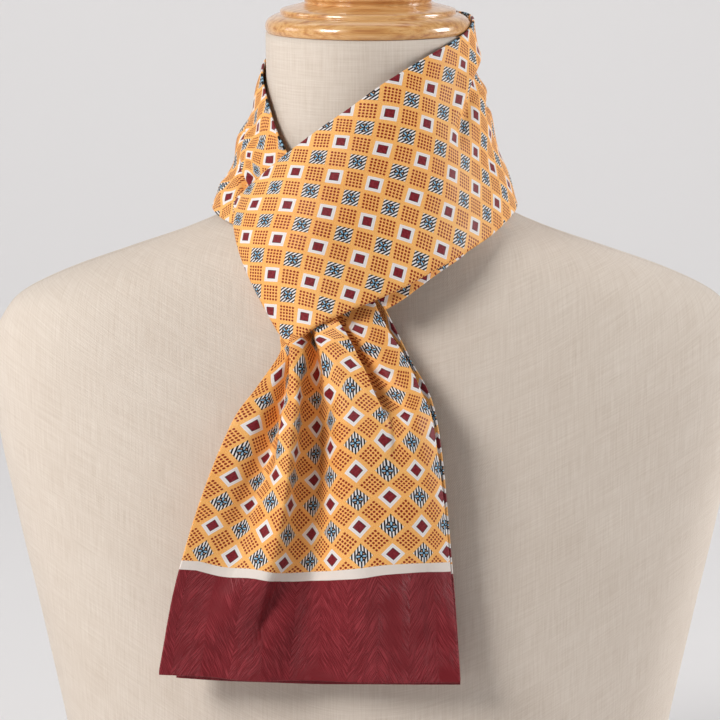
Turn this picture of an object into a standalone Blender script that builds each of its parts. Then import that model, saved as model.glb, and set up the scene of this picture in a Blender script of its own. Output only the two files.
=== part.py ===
"""An ascot scarf wound and crossed on a limbless dress form, with a turned wood neck cap.

Metres, +Z up.  The origin is the middle of the form's flat base, -Y is the front and +X is the
right of someone who looks at the front.  Tables are in millimetres and degrees.  Angles go round
the neck's axis from the front: 90 is the right side, 180 the back, 270 the left side.

The scarf is one long double cloth.  Its stretches follow each other: the back tail, the front wrap
(from the fold at the left, across the front to the right), the neck loop (round the back, over the
left shoulder and down behind the wrap), and the front tail.
"""
import math

import bmesh
import bpy
import numpy as np

MM = 0.001

# ---------------------------------------------------------------- driving dimensions, millimetres
FORM_HEIGHT = 500.0          # base to the seat of the neck cap
CLOTH_WALL = 1.2             # two plies of satin, lying on each other
SEAM_STEP = 0.4              # how far the front tail begins beyond the neck loop's end
LOWER_FOLD_RADIUS = 1.9      # bend of the wrap's folded lower edge
LOWER_FLAP = 10.0            # depth of the cloth that is folded under there
SIDE_FOLD_TOP_RADIUS = 4.5   # bend of the wrap's fold at the left, at its upper end
SIDE_FOLD_LOW_RADIUS = 5.4   # and at its lower end, round the gathered strand
SIDE_FOLD_OPEN = 0.12        # share of the wrap's depth at which the fold begins
SIDE_FOLD_CLOSES = 0.28      # share over which it turns right round
SIDE_FOLD_FREE = 0.62        # share at which it begins to open again, where the tail comes out
SIDE_FOLD_LEAST = 0.14       # turn of the cloth's end beyond these, as a share of the fold
SIDE_FLAP = 3.0              # cloth that goes on behind the strand
UNDER_LAYER_DEPTH = 5.9      # how far the under layer lies behind the wrap's face
UNDER_LAYER_TUCK = 11.0      # how far it reaches up behind the folded edge

# ---------------------------------------------------------------- how finely the cloth is divided
BAND_COLUMNS_ACROSS = 11     # columns of the wrap's face, top edge to folded edge
WRAP_STATIONS = 25           # sections along the wrap
LOOP_STATIONS = 37           # sections along the neck loop
LOOP_COLUMNS_ACROSS = 16
UNDER_STATIONS = 13
UNDER_COLUMNS_ACROSS = 5
LOWER_BEND_STEPS = 4         # steps round the wrap's folded lower edge
LOWER_FLAP_STEPS = 2
SIDE_BEND_STEPS = 5          # steps round its fold at the left
SIDE_FLAP_STEPS = 2
FRONT_TAIL_COLUMNS = 49
FRONT_TAIL_STEPS = (4, 6, 6, 6)     # sections from the hem to the white line, and so on up
BACK_TAIL_COLUMNS = 22
BACK_TAIL_STEPS = (3, 5, 4, 4)

# ---------------------------------------------------------------- the form
FORM_COLUMNS = ("height", "half_width", "front", "back", "squareness")
FORM_ROWS = (
    (0.0, 158.0, 92.0, 90.0, 2.3),
    (80.0, 170.0, 97.0, 97.0, 2.3),
    (160.0, 187.0, 99.5, 104.0, 2.3),
    (230.0, 203.0, 100.0, 110.0, 2.25),
    (280.0, 213.0, 96.5, 111.0, 2.2),
    (315.0, 215.0, 88.5, 108.0, 2.2),
    (337.0, 210.0, 81.5, 101.0, 2.15),
    (352.0, 197.0, 77.0, 94.0, 2.1),
    (364.0, 172.0, 73.0, 88.0, 2.1),
    (376.0, 138.0, 69.5, 82.0, 2.05),
    (388.0, 103.0, 66.0, 77.0, 2.0),
    (398.0, 81.0, 63.5, 73.5, 2.0),
    (404.0, 72.5, 62.5, 71.0, 2.0),
    (412.0, 68.0, 61.8, 67.5, 2.0),
    (428.0, 61.8, 60.0, 62.0, 2.0),
    (450.0, 58.8, 58.6, 59.2, 2.0),
    (500.0, 58.4, 58.2, 58.4, 2.0),
)
FORM_RINGS = 30
FORM_SIDES = 44
BASE_ROUND = 4.0             # rounding of the base's lower edge

CAP_COLUMNS = ("radius", "height")
CAP_ROWS = (
    (57.2, 0.3), (58.3, 1.5), (58.7, 3.8), (58.1, 6.3), (56.4, 8.4), (53.2, 10.2),
    (50.4, 11.0), (50.2, 12.3), (49.4, 13.6), (45.5, 14.8), (40.0, 16.2), (36.4, 17.5),
    (36.6, 18.8), (38.0, 20.4), (38.1, 23.0), (36.2, 25.2), (31.0, 27.2), (22.0, 28.6),
    (15.5, 29.3), (14.6, 30.6), (16.4, 33.0), (17.0, 36.0), (15.2, 39.6), (10.4, 42.4), (4.0, 43.7),
)
CAP_SIDES = 36

# ---------------------------------------------------------------- the scarf round the neck
# Each row is a section across the cloth, from its upper edge to its folded lower edge.  The belly
# is how far the section stands out from the straight line between them, and the pleat is how deep
# the soft pleats are that run along the stretch where it is gathered.
BAND_COLUMNS = ("place", "top_angle", "top_radius", "top_height",
                "low_angle", "low_radius", "low_height", "belly", "pleat")
BELLY_PEAK = 0.8             # below 1 the belly is fullest above the middle
PLEATS_ACROSS = 2.5          # soft pleats across a gathered stretch
WRAP_ROWS = (
    (-2.4, -60.5, 84.4, 410.0, -24.3, 105.6, 336.0, 12.2, 0.0),
    (-1.3, -51.5, 83.0, 419.0, -17.4, 107.4, 346.0, 13.8, 0.0),
    (0.3, -37.2, 78.4, 435.6, -6.5, 107.4, 356.5, 13.5, 0.0),
    (2.0, -23.6, 73.0, 449.6, 7.5, 104.4, 367.0, 11.5, 0.0),
    (3.8, -8.8, 68.6, 463.2, 23.5, 98.9, 379.0, 9.5, 0.0),
    (5.8, 12.8, 64.6, 480.0, 42.5, 91.4, 389.0, 7.0, 0.0),
    (8.0, 37.6, 61.9, 492.7, 64.5, 85.6, 397.0, 3.0, 0.3),
    (10.0, 65.0, 60.0, 501.0, 84.0, 84.9, 402.0, -2.0, 0.9),
    (12.0, 94.0, 60.0, 507.5, 102.5, 84.6, 401.8, -3.0, 1.0),
    (13.0, 110.0, 60.1, 509.0, 114.0, 83.6, 401.4, -3.0, 1.0),
)
LOOP_ROWS = (
    (13.0, 110.4, 60.1, 509.0, 114.35, 83.6, 401.4, -3.0, 1.0),
    (15.0, 140.0, 60.2, 509.0, 140.0, 81.0, 400.5, -3.0, 1.0),
    (17.5, 180.0, 60.4, 503.5, 180.0, 80.4, 401.0, -3.0, 1.0),
    (20.0, 220.0, 60.6, 493.0, 220.0, 81.6, 400.5, -3.0, 1.3),
    (22.0, 250.0, 60.6, 484.0, 247.0, 85.0, 400.5, -2.5, 1.8),
    (23.5, 272.0, 60.8, 477.5, 268.5, 88.4, 401.0, -2.0, 1.6),
    (24.8, 290.0, 61.8, 466.0, 286.5, 87.8, 398.0, -3.0, 1.5),
    (26.2, 309.0, 65.4, 445.5, 307.6, 89.2, 393.0, -5.0, 0.9),
    (27.4, 324.0, 71.0, 431.0, 318.4, 97.6, 379.0, -3.0, 0.5),
    (28.6, 343.0, 78.0, 413.0, 325.5, 100.0, 361.0, -1.0, 0.5),
    (29.6, 357.5, 85.5, 397.0, 330.5, 98.8, 351.0, 0.0, 0.3),
    (30.2, 364.0, 89.5, 386.0, 333.0, 98.5, 347.0, 0.0, 0.0),
)
UNDER_COLUMNS = ("place", "peek")
UNDER_ROWS = ((1.5, 8.8), (2.2, 7.6), (3.0, 5.8), (4.0, 4.2), (5.2, 3.4), (6.2, 0.5), (6.8, -1.5))

# ---------------------------------------------------------------- the tails
# Each row is a fold line that runs down the tail.  Columns x_... say how far right it lies and
# columns in_... how far it lies behind the tail's own plane, at the hem, at the white line, half
# way up and just under the wrap.  The across column is its place in the cloth, in columns of print.
FOLD_COLUMNS = ("across", "x_hem", "x_line", "x_middle", "x_upper",
                "in_hem", "in_line", "in_middle", "in_upper", "dip")
FRONT_TAIL_FOLDS = (
    (0.00, -116.3, -103.1, -74.5, -47.5, 0.0, 0.0, 1.0, 8.0, 0.0),
    (0.63, -105.6, -94.0, -63.4, -45.2, 0.0, 0.0, 0.0, 7.0, -0.5),
    (1.30, -94.3, -82.9, -56.7, -43.0, 0.0, 1.0, 4.0, 7.5, -1.0),
    (2.00, -82.6, -71.2, -51.2, -39.8, 0.0, 0.0, 4.0, 7.0, -1.5),
    (2.70, -70.9, -60.7, -47.8, -38.4, -1.0, -4.0, -6.0, 4.5, -2.0),
    (3.30, -60.3, -52.9, -42.3, -36.0, -1.0, -4.0, -9.0, 0.0, -2.8),
    (4.00, -48.6, -43.5, -35.1, -33.0, 1.0, 1.0, -3.0, 2.0, -4.0),
    (4.80, -35.2, -31.3, -27.3, -29.1, 3.0, 6.0, 4.0, 6.0, -4.2),
    (5.40, -24.7, -22.9, -22.3, -27.1, 3.0, 5.0, 3.0, 4.0, -3.2),
    (6.20, -10.7, -10.2, -13.5, -17.9, 0.0, -2.0, -8.0, -5.0, -1.4),
    (7.00, 2.6, 3.2, -2.9, -8.6, -1.0, -4.0, -9.0, -7.0, -0.6),
    (7.50, 11.6, 11.5, 4.8, -7.6, -1.0, -4.0, -9.0, -2.0, -0.4),
    (8.00, 19.9, 20.4, 12.6, -5.0, -1.0, -4.0, -9.0, 1.0, -0.3),
    (8.60, 31.1, 30.9, 21.6, 2.2, 0.0, -3.0, -9.0, -4.0, -0.2),
    (9.30, 43.0, 39.6, 30.6, 11.5, 0.0, -2.0, -6.0, -3.5, 0.0),
    (9.70, 50.8, 45.1, 34.8, 16.0, 0.0, 0.0, -2.0, -0.5, 0.0),
)
BACK_TAIL_FOLDS = (
    (0.0, -107.0, -97.0, -66.0, -31.0, 0.0, 0.0, 1.0, 0.5, 0.0),
    (1.6, -81.0, -74.0, -50.0, -25.0, -1.0, -1.5, -1.0, -0.5, 0.0),
    (3.2, -54.5, -49.0, -35.0, -18.0, 0.5, 1.0, 1.0, 0.5, -1.0),
    (4.8, -28.0, -25.0, -18.5, -11.0, 0.0, -1.5, -1.0, -0.5, -1.0),
    (6.4, -2.0, -1.5, -2.5, -3.5, 0.5, 1.0, 1.0, 0.5, -0.5),
    (8.1, 25.5, 24.5, 17.5, 7.0, 0.0, -1.0, -1.5, -0.5, 0.0),
    (9.7, 51.2, 46.2, 36.6, 18.6, 0.0, 0.5, 0.5, 0.5, 0.0),
)
# Levels of the tails, from the hem up.  Plane is the tail's own distance in front of the axis.
LEVEL_COLUMNS = ("height", "plane")
FRONT_TAIL_LEVELS = ((149.3, 118.0), (215.5, 119.0), (293.5, 114.5), (329.0, 98.5))
BACK_TAIL_LEVELS = ((145.5, 108.5), (212.0, 107.5), (293.5, 101.0), (327.0, 86.7))
BACK_TAIL_TOP = (-22.0, -80.5, 352.0, 13.0, -80.5, 369.0)   # its hidden upper edge, left then right


# ---------------------------------------------------------------- tables and curves
def table(columns, rows):
    """A table's rows as one array for each named column."""
    return {name: np.array([row[index] for row in rows], float) for index, name in enumerate(columns)}


def smooth_curve(knots, values, at):
    """A smooth curve through the values at the knots, read at the given places."""
    knots, values, at = np.asarray(knots, float), np.asarray(values, float), np.asarray(at, float)
    slopes = np.gradient(values, knots, axis=0)
    span = np.clip(np.searchsorted(knots, at, side="right") - 1, 0, len(knots) - 2)
    width = knots[span + 1] - knots[span]
    share = np.clip((at - knots[span]) / width, 0.0, 1.0)
    if values.ndim > 1:
        extra = (1,) * (values.ndim - 1)
        share, width = share.reshape(-1, *extra), width.reshape(-1, *extra)
    rise = values[span + 1] - values[span]
    bend = 3.0 * share ** 2 - 2.0 * share ** 3
    lead = share * (1.0 - share) ** 2 * slopes[span] - share ** 2 * (1.0 - share) * slopes[span + 1]
    return values[span] + rise * bend + width * lead


def around(angle, radius, height):
    """Points at angles round the neck's axis, as an array with x, y and z last."""
    turn = np.radians(angle)
    return np.stack([radius * np.sin(turn), -radius * np.cos(turn), height], -1)


def unit(vectors):
    """The vectors, each made one long."""
    return vectors / np.maximum(np.linalg.norm(vectors, axis=-1, keepdims=True), 1e-9)


def grid_frame(grid):
    """Outward normal and the two tangents (along the rows' order, across) at each point of a grid."""
    along = unit(np.gradient(grid, axis=0))
    across = unit(np.gradient(grid, axis=1))
    return unit(np.cross(across, along)), along, across


# ---------------------------------------------------------------- meshes
def add_object(name, vertices, faces, material):
    """A new object from vertices in millimetres and faces, shaded smooth."""
    mesh = bpy.data.meshes.new(name)
    mesh.from_pydata([tuple(point * MM) for point in vertices], [], faces)
    work = bmesh.new()
    work.from_mesh(mesh)
    bmesh.ops.recalc_face_normals(work, faces=work.faces)
    work.to_mesh(mesh)
    work.free()
    mesh.shade_smooth()
    mesh.set_sharp_from_angle(angle=math.radians(40.0))
    mesh.materials.append(material)
    built = bpy.data.objects.new(name, mesh)
    bpy.context.scene.collection.objects.link(built)
    return built


def cloth_wall(name, grid, material):
    """A closed wall of even thickness round the middle surface that the grid gives."""
    normal = grid_frame(grid)[0]
    rows, columns = grid.shape[:2]
    half = CLOTH_WALL / 2.0
    vertices = np.concatenate([(grid + normal * half).reshape(-1, 3), (grid - normal * half).reshape(-1, 3)])
    inner = rows * columns

    def outer_index(row, column):
        return row * columns + column

    faces = []
    for row in range(rows - 1):
        for column in range(columns - 1):
            square = (outer_index(row, column), outer_index(row + 1, column),
                      outer_index(row + 1, column + 1), outer_index(row, column + 1))
            faces.append(square)
            faces.append(tuple(inner + index for index in reversed(square)))
    rim = [outer_index(row, 0) for row in range(rows)]
    rim += [outer_index(rows - 1, column) for column in range(1, columns)]
    rim += [outer_index(row, columns - 1) for row in range(rows - 2, -1, -1)]
    rim += [outer_index(0, column) for column in range(columns - 2, 0, -1)]
    for start, end in zip(rim, rim[1:] + rim[:1]):
        faces.append((end, start, inner + start, inner + end))
    return add_object(name, vertices, faces, material)


def stacked_rings(name, rings, material):
    """A closed body from rings of equal length, bottom to top, with flat ends."""
    count, sides = len(rings), len(rings[0])
    faces = []
    for level in range(count - 1):
        for side in range(sides):
            following = (side + 1) % sides
            faces.append((level * sides + side, level * sides + following,
                          (level + 1) * sides + following, (level + 1) * sides + side))
    faces.append(tuple(reversed(range(sides))))
    faces.append(tuple((count - 1) * sides + side for side in range(sides)))
    return add_object(name, np.concatenate(rings), faces, material)


# ---------------------------------------------------------------- form and cap
def form_ring(half_width, front, back, squareness, height):
    """One level ring of the form, rounder at the neck and squarer at the chest."""
    turn = np.linspace(0.0, 2.0 * math.pi, FORM_SIDES, endpoint=False)
    power = 2.0 / squareness
    x = half_width * np.sign(np.cos(turn)) * np.abs(np.cos(turn)) ** power
    depth = np.where(np.sin(turn) < 0.0, front, back)
    y = depth * np.sign(np.sin(turn)) * np.abs(np.sin(turn)) ** power
    return np.stack([x, y, np.full_like(x, height)], -1)


def build_form(material):
    """The limbless torso with its neck, on a flat base with a rounded lower edge."""
    rows = table(FORM_COLUMNS, FORM_ROWS)
    # the rings follow the table's own rows, so that the shoulders get the most of them
    steps = np.linspace(0.0, len(FORM_ROWS) - 1.0, FORM_RINGS)
    heights = np.interp(steps, np.arange(len(FORM_ROWS)), rows["height"])
    sizes = {name: smooth_curve(rows["height"], rows[name], heights) for name in FORM_COLUMNS[1:]}
    rings = []
    for index, height in enumerate(heights):
        size = [sizes[name][index] for name in FORM_COLUMNS[1:]]
        if index == 0:
            inset = [size[0] - BASE_ROUND, size[1] - BASE_ROUND, size[2] - BASE_ROUND, size[3]]
            rings.append(form_ring(*inset, height))
            height += BASE_ROUND
        rings.append(form_ring(*size, height))
    return stacked_rings("form_body", rings, material)


def build_cap(material):
    """The turned wood cap that closes the neck, with a low knob."""
    profile = table(CAP_COLUMNS, CAP_ROWS)
    turn = np.linspace(0.0, 360.0, CAP_SIDES, endpoint=False)
    rings = [around(turn, np.full_like(turn, radius), np.full_like(turn, FORM_HEIGHT + height))
             for radius, height in zip(profile["radius"], profile["height"])]
    return stacked_rings("neck_cap", rings, material)


# ---------------------------------------------------------------- the scarf
def band_grid(rows, places, shares):
    """The middle surface of a stretch round the neck, without its folds."""
    columns = table(BAND_COLUMNS, rows)
    read = {name: smooth_curve(columns["place"], columns[name], places) for name in BAND_COLUMNS[1:]}
    top = around(read["top_angle"], read["top_radius"], read["top_height"])[:, None, :]
    low = around(read["low_angle"], read["low_radius"], read["low_height"])[:, None, :]
    chord = unit(low - top)
    middle = (read["top_angle"] + read["low_angle"]) / 2.0
    outward = around(middle, np.ones_like(middle), np.zeros_like(middle))[:, None, :]
    outward = unit(outward - chord * np.sum(outward * chord, -1, keepdims=True))
    share = np.asarray(shares)[None, :, None]
    swell = np.sin(math.pi * share ** BELLY_PEAK) * read["belly"][:, None, None]
    ripple = np.sin(2.0 * math.pi * PLEATS_ACROSS * share) * np.sin(math.pi * share)
    return top + (low - top) * share + outward * (swell + ripple * read["pleat"][:, None, None])


def lower_fold_path():
    """The folded lower edge's half turn and flap: how far forward and how deep, step by step."""
    turn = np.linspace(0.0, math.pi, LOWER_BEND_STEPS + 1)[1:]
    flap = np.linspace(0.0, LOWER_FLAP, LOWER_FLAP_STEPS + 1)[1:]
    forward = np.concatenate([LOWER_FOLD_RADIUS * np.sin(turn), -flap])
    depth = np.concatenate([LOWER_FOLD_RADIUS * (1.0 - np.cos(turn)), 2.0 * LOWER_FOLD_RADIUS + 0.0 * flap])
    return forward, depth


def fold_lower_edge(grid):
    """The grid with its last column folded under, along the whole lower edge."""
    normal, _, across = grid_frame(grid)
    forward, depth = lower_fold_path()
    added = [grid[:, -1] + across[:, -1] * step - normal[:, -1] * drop for step, drop in zip(forward, depth)]
    return np.concatenate([grid, np.stack(added, 1)], 1)


def fold_left_side(face, folded):
    """The folded wrap with its left end turned back round the gathered strand."""
    normal, along, _ = grid_frame(face)
    columns = face.shape[1]
    extra = folded.shape[1] - columns
    share = np.concatenate([np.linspace(0.0, 1.0, columns), np.ones(extra)])
    radius = SIDE_FOLD_TOP_RADIUS + (SIDE_FOLD_LOW_RADIUS - SIDE_FOLD_TOP_RADIUS) * share
    under = np.concatenate([np.zeros(columns), lower_fold_path()[1]])
    # the end of the wrap lies open on the strand, turns right round it, and opens for the tail
    closed = np.clip((share - SIDE_FOLD_OPEN) / SIDE_FOLD_CLOSES, 0.0, 1.0)
    opened = np.clip((share - SIDE_FOLD_FREE) / (1.0 - SIDE_FOLD_FREE), 0.0, 1.0)
    turned = np.maximum(closed * (1.0 - opened), SIDE_FOLD_LEAST)
    # the folded-under columns turn about the same axis, nearer to it
    normal = np.concatenate([normal[0], np.repeat(normal[0, -1:], extra, 0)])
    ahead = -np.concatenate([along[0], np.repeat(along[0, -1:], extra, 0)])
    start = folded[0] + normal * under[:, None]
    stations = []
    for step in np.linspace(0.0, 1.0, SIDE_BEND_STEPS + 1)[1:]:
        turn = math.pi * step * turned
        reach = (radius - under) * np.sin(turn)
        drop = radius - (radius - under) * np.cos(turn)
        stations.append(start + ahead * reach[:, None] - normal * drop[:, None])
    bend_end = stations[-1]
    onward = ahead * np.cos(turn)[:, None] - normal * np.sin(turn)[:, None]
    for length in np.linspace(0.0, SIDE_FLAP, SIDE_FLAP_STEPS + 1)[1:]:
        stations.append(bend_end + onward * (length * turned)[:, None])
    return np.concatenate([np.stack(stations[::-1]), folded], 0)


def build_front_wrap(material):
    """The wide stretch that crosses the front, folded under below and back at the left."""
    places = np.linspace(WRAP_ROWS[0][0], WRAP_ROWS[-1][0], WRAP_STATIONS)
    face = band_grid(WRAP_ROWS, places, np.linspace(0.0, 1.0, BAND_COLUMNS_ACROSS))
    return cloth_wall("scarf_front_wrap", fold_left_side(face, fold_lower_edge(face)), material)


def loop_face(shares):
    """The face of the stretch round the back, over the left shoulder and down to the knot."""
    return band_grid(LOOP_ROWS, np.linspace(LOOP_ROWS[0][0], LOOP_ROWS[-1][0], LOOP_STATIONS), shares)


def build_neck_loop(material):
    """The stretch round the back of the neck, gathered in soft pleats over the left shoulder."""
    return cloth_wall("scarf_neck_loop", loop_face(np.linspace(0.0, 1.0, LOOP_COLUMNS_ACROSS)), material)


def build_under_layer(material):
    """The narrow layer that looks out below the wrap's lower right edge."""
    rows = table(UNDER_COLUMNS, UNDER_ROWS)
    places = np.linspace(UNDER_ROWS[0][0], UNDER_ROWS[-1][0], UNDER_STATIONS)
    face = band_grid(WRAP_ROWS, places, np.linspace(0.0, 1.0, BAND_COLUMNS_ACROSS))
    normal, _, across = grid_frame(face)
    peek = smooth_curve(rows["place"], rows["peek"], places)
    columns = []
    for share in np.linspace(0.0, 1.0, UNDER_COLUMNS_ACROSS):
        drop = -UNDER_LAYER_TUCK + (peek + UNDER_LAYER_TUCK) * share
        columns.append(face[:, -1] + across[:, -1] * drop[:, None] - normal[:, -1] * UNDER_LAYER_DEPTH)
    return cloth_wall("scarf_under_layer", np.stack(columns, 1), material)


def tail_grid(folds, levels, upper_edge, across_steps, level_steps):
    """The middle surface of a tail: smooth across its folds, then smooth up its levels."""
    fold = table(FOLD_COLUMNS, folds)
    level = table(LEVEL_COLUMNS, levels)
    across = np.linspace(fold["across"][0], fold["across"][-1], across_steps)
    read = {name: smooth_curve(fold["across"], fold[name], across) for name in FOLD_COLUMNS[1:]}
    sections = []
    for index, name in enumerate(("hem", "line", "middle", "upper")):
        height = np.full(across_steps, level["height"][index])
        if name == "line":
            height = height + read["dip"]
        sections.append(np.stack([read["x_" + name], read["in_" + name] - level["plane"][index], height], -1))
    sections.append(upper_edge(across / fold["across"][-1]))
    order = np.arange(len(sections), dtype=float)
    steps = np.concatenate([np.linspace(start, start + 1.0, count, endpoint=False)
                            for start, count in zip(order, level_steps)] + [order[-1:]])
    return smooth_curve(order, np.stack(sections), steps)


def loop_end(share):
    """The front tail's upper edge: the loop's last section, a seam's gap further on."""
    face = loop_face(1.0 - share)
    step = unit(face[-1] - face[-2])
    return face[-1] + step * SEAM_STEP


def back_tail_top(share):
    """The back tail's hidden upper edge, a straight line behind the strand."""
    edge = np.array(BACK_TAIL_TOP).reshape(2, 3)
    return edge[0] + (edge[1] - edge[0]) * share[:, None]


def build_tails(material):
    """The pleated front tail and the plainer tail that hangs behind it."""
    front = tail_grid(FRONT_TAIL_FOLDS, FRONT_TAIL_LEVELS, loop_end, FRONT_TAIL_COLUMNS, FRONT_TAIL_STEPS)
    back = tail_grid(BACK_TAIL_FOLDS, BACK_TAIL_LEVELS, back_tail_top, BACK_TAIL_COLUMNS, BACK_TAIL_STEPS)
    # the tails' rows run up from the hem, so their order is turned to face the front
    cloth_wall("scarf_front_tail", front[::-1], material)
    cloth_wall("scarf_back_tail", back[::-1], material)


def make_material(name, colour, roughness):
    """A plain finish in the colour of the real one."""
    material = bpy.data.materials.new(name)
    material.use_nodes = True
    shader = material.node_tree.nodes["Principled BSDF"]
    shader.inputs["Base Color"].default_value = (*colour, 1.0)
    shader.inputs["Roughness"].default_value = roughness
    shader.inputs["Metallic"].default_value = 0.0
    return material


def main():
    """Clear the scene and build every piece."""
    for existing in list(bpy.data.objects):
        bpy.data.objects.remove(existing, do_unlink=True)
    linen = make_material("form linen", (0.76, 0.66, 0.57), 0.9)
    wood = make_material("varnished wood", (0.67, 0.35, 0.14), 0.3)
    satin = make_material("printed satin", (0.93, 0.46, 0.10), 0.45)
    build_form(linen)
    build_cap(wood)
    build_neck_loop(satin)
    build_front_wrap(satin)
    build_under_layer(satin)
    build_tails(satin)


main()
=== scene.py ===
"""Looks of an ascot scarf wound and crossed on a limbless dress form with a turned wood cap.

Tables are in millimetres and degrees, and the meshes are built in metres, +Z up, with -Y to the
front.  Angles go round the neck's axis from the front: 90 is the right side, 180 the back.  Each
stretch of the scarf is a fine double-ply shell on the form of its own solid, with the smaller
creases laid into it.
"""
import logging
import math
from dataclasses import dataclass
from enum import Enum
from typing import Any, Sequence

import bpy
import numpy as np
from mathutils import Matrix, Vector


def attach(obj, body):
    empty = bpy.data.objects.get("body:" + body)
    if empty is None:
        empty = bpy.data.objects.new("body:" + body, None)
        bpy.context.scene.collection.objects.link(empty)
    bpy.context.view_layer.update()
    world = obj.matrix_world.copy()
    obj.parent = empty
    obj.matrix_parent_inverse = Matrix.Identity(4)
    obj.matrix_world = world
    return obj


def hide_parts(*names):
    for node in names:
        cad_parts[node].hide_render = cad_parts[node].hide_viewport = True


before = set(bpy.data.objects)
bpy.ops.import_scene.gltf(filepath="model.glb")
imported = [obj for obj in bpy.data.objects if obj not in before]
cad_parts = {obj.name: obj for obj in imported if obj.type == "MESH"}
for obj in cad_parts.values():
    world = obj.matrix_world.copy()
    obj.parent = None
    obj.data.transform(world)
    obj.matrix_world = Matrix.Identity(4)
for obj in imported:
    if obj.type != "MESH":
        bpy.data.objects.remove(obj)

LOG = logging.getLogger("ascot")
MM = 0.001
Colour = tuple[float, float, float]
Rows = tuple[tuple[float, ...], ...]
Step = tuple[float, float]  # the middle of a soft step, and half its width
COLUMN_WIDTH = 16.8  # the print's pitch across the scarf where it lies flat, in millimetres
ROW_LENGTH = 15.5  # and along it
HAIR = 0.001  # keeps a reading just inside the last cell


class Hold(Enum):
    """How a stretch of cloth is held."""

    HUNG = "hung"
    GATHERED = "gathered"
    FOLDED = "folded"


class Slot(Enum):
    """The record's material slots."""

    LINEN = "form_linen"
    WOOD = "cap_wood"
    SATIN = "scarf_satin"


# ---------------------------------------------------------------- curves and surfaces
def srgb(red: float, green: float, blue: float) -> Colour:
    """A screen colour as scene-linear light, by the standard curve of screens.

    Args:
        red: the red channel, 0 to 255.
        green: the green channel.
        blue: the blue channel.

    Returns:
        The three channels, 0 to 1.
    """
    shares = (channel / 255.0 for channel in (red, green, blue))
    return tuple(share / 12.92 if share < 0.04045 else ((share + 0.055) / 1.055) ** 2.4
                 for share in shares)


def table(columns: Sequence[str], rows: Rows) -> dict[str, np.ndarray]:
    """A table's rows as one array for each named column.

    Args:
        columns: the names of the columns, in order.
        rows: the rows, each as long as the names.

    Returns:
        One array of numbers for each name.
    """
    return {name: np.array([row[index] for row in rows], float) for index, name in enumerate(columns)}


def smooth_curve(knots: Any, values: Any, at: Any) -> np.ndarray:
    """A smooth curve through the values at the knots.

    Args:
        knots: rising places of the values.
        values: one value, point or section for each knot.
        at: the places to read.

    Returns:
        The curve's values at these places, along the first axis.
    """
    knots, values, at = (np.asarray(numbers, float) for numbers in (knots, values, at))
    slopes = np.gradient(values, knots, axis=0)
    span = np.clip(np.searchsorted(knots, at, side="right") - 1, 0, len(knots) - 2)
    width = knots[span + 1] - knots[span]
    share = np.clip((at - knots[span]) / width, 0.0, 1.0)
    if values.ndim > 1:
        extra = (1,) * (values.ndim - 1)
        share, width = share.reshape(-1, *extra), width.reshape(-1, *extra)
    rise = values[span + 1] - values[span]
    bend = 3.0 * share ** 2 - 2.0 * share ** 3
    lead = share * (1.0 - share) ** 2 * slopes[span] - share ** 2 * (1.0 - share) * slopes[span + 1]
    return values[span] + rise * bend + width * lead


def ramp(values: np.ndarray, start: float, end: float) -> np.ndarray:
    """A straight rise from nought at the start to one at the end."""
    return np.clip((values - start) / (end - start), 0.0, 1.0)


def around(angle: Any, radius: Any, height: Any) -> np.ndarray:
    """Points at angles round the neck's axis, with x, y and z last."""
    turn = np.radians(angle)
    return np.stack([radius * np.sin(turn), -radius * np.cos(turn), height], -1)


def unit(vectors: np.ndarray) -> np.ndarray:
    """The vectors, each made one long."""
    return vectors / np.maximum(np.linalg.norm(vectors, axis=-1, keepdims=True), 1e-9)


def path_lengths(grid: np.ndarray, axis: int) -> np.ndarray:
    """How far each point of a grid lies from its first row or column, over the surface.

    Args:
        grid: points in rows and columns.
        axis: 0 to measure down the columns, 1 along the rows.

    Returns:
        The length at each point.
    """
    first = np.take(grid, [0], axis)
    return np.cumsum(np.linalg.norm(np.diff(grid, axis=axis, prepend=first), axis=-1), axis)


def grid_faces(number: np.ndarray) -> np.ndarray:
    """The four-sided faces of a grid.

    Args:
        number: the grid's point numbers, in rows and columns.

    Returns:
        Four point numbers for each face.
    """
    corners = [number[:-1, :-1], number[1:, :-1], number[1:, 1:], number[:-1, 1:]]
    return np.stack(corners, -1).reshape(-1, 4)


def surface_frame(grid: np.ndarray) -> tuple[np.ndarray, np.ndarray, np.ndarray]:
    """Directions at each point of a grid of points.

    Args:
        grid: points in rows and columns.

    Returns:
        The outward normal, the tangent along the rows' order, and the tangent across.
    """
    along = unit(np.gradient(grid, axis=0))
    across = unit(np.gradient(grid, axis=1))
    return unit(np.cross(across, along)), along, across


def read_grid(grid: np.ndarray, row: np.ndarray, column: np.ndarray) -> np.ndarray:
    """Points between a grid's own ones.

    Args:
        grid: points in rows and columns.
        row: where to read, in rows.
        column: where to read, in columns.

    Returns:
        One point for each place.
    """
    row = np.clip(row, 0.0, grid.shape[0] - 1.0 - HAIR)
    column = np.clip(column, 0.0, grid.shape[1] - 1.0 - HAIR)
    low_row, low_column = row.astype(int), column.astype(int)
    down, right = (row - low_row)[:, None], (column - low_column)[:, None]
    upper = grid[low_row, low_column] * (1 - right) + grid[low_row, low_column + 1] * right
    lower = grid[low_row + 1, low_column] * (1 - right) + grid[low_row + 1, low_column + 1] * right
    return upper * (1 - down) + lower * down


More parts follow.
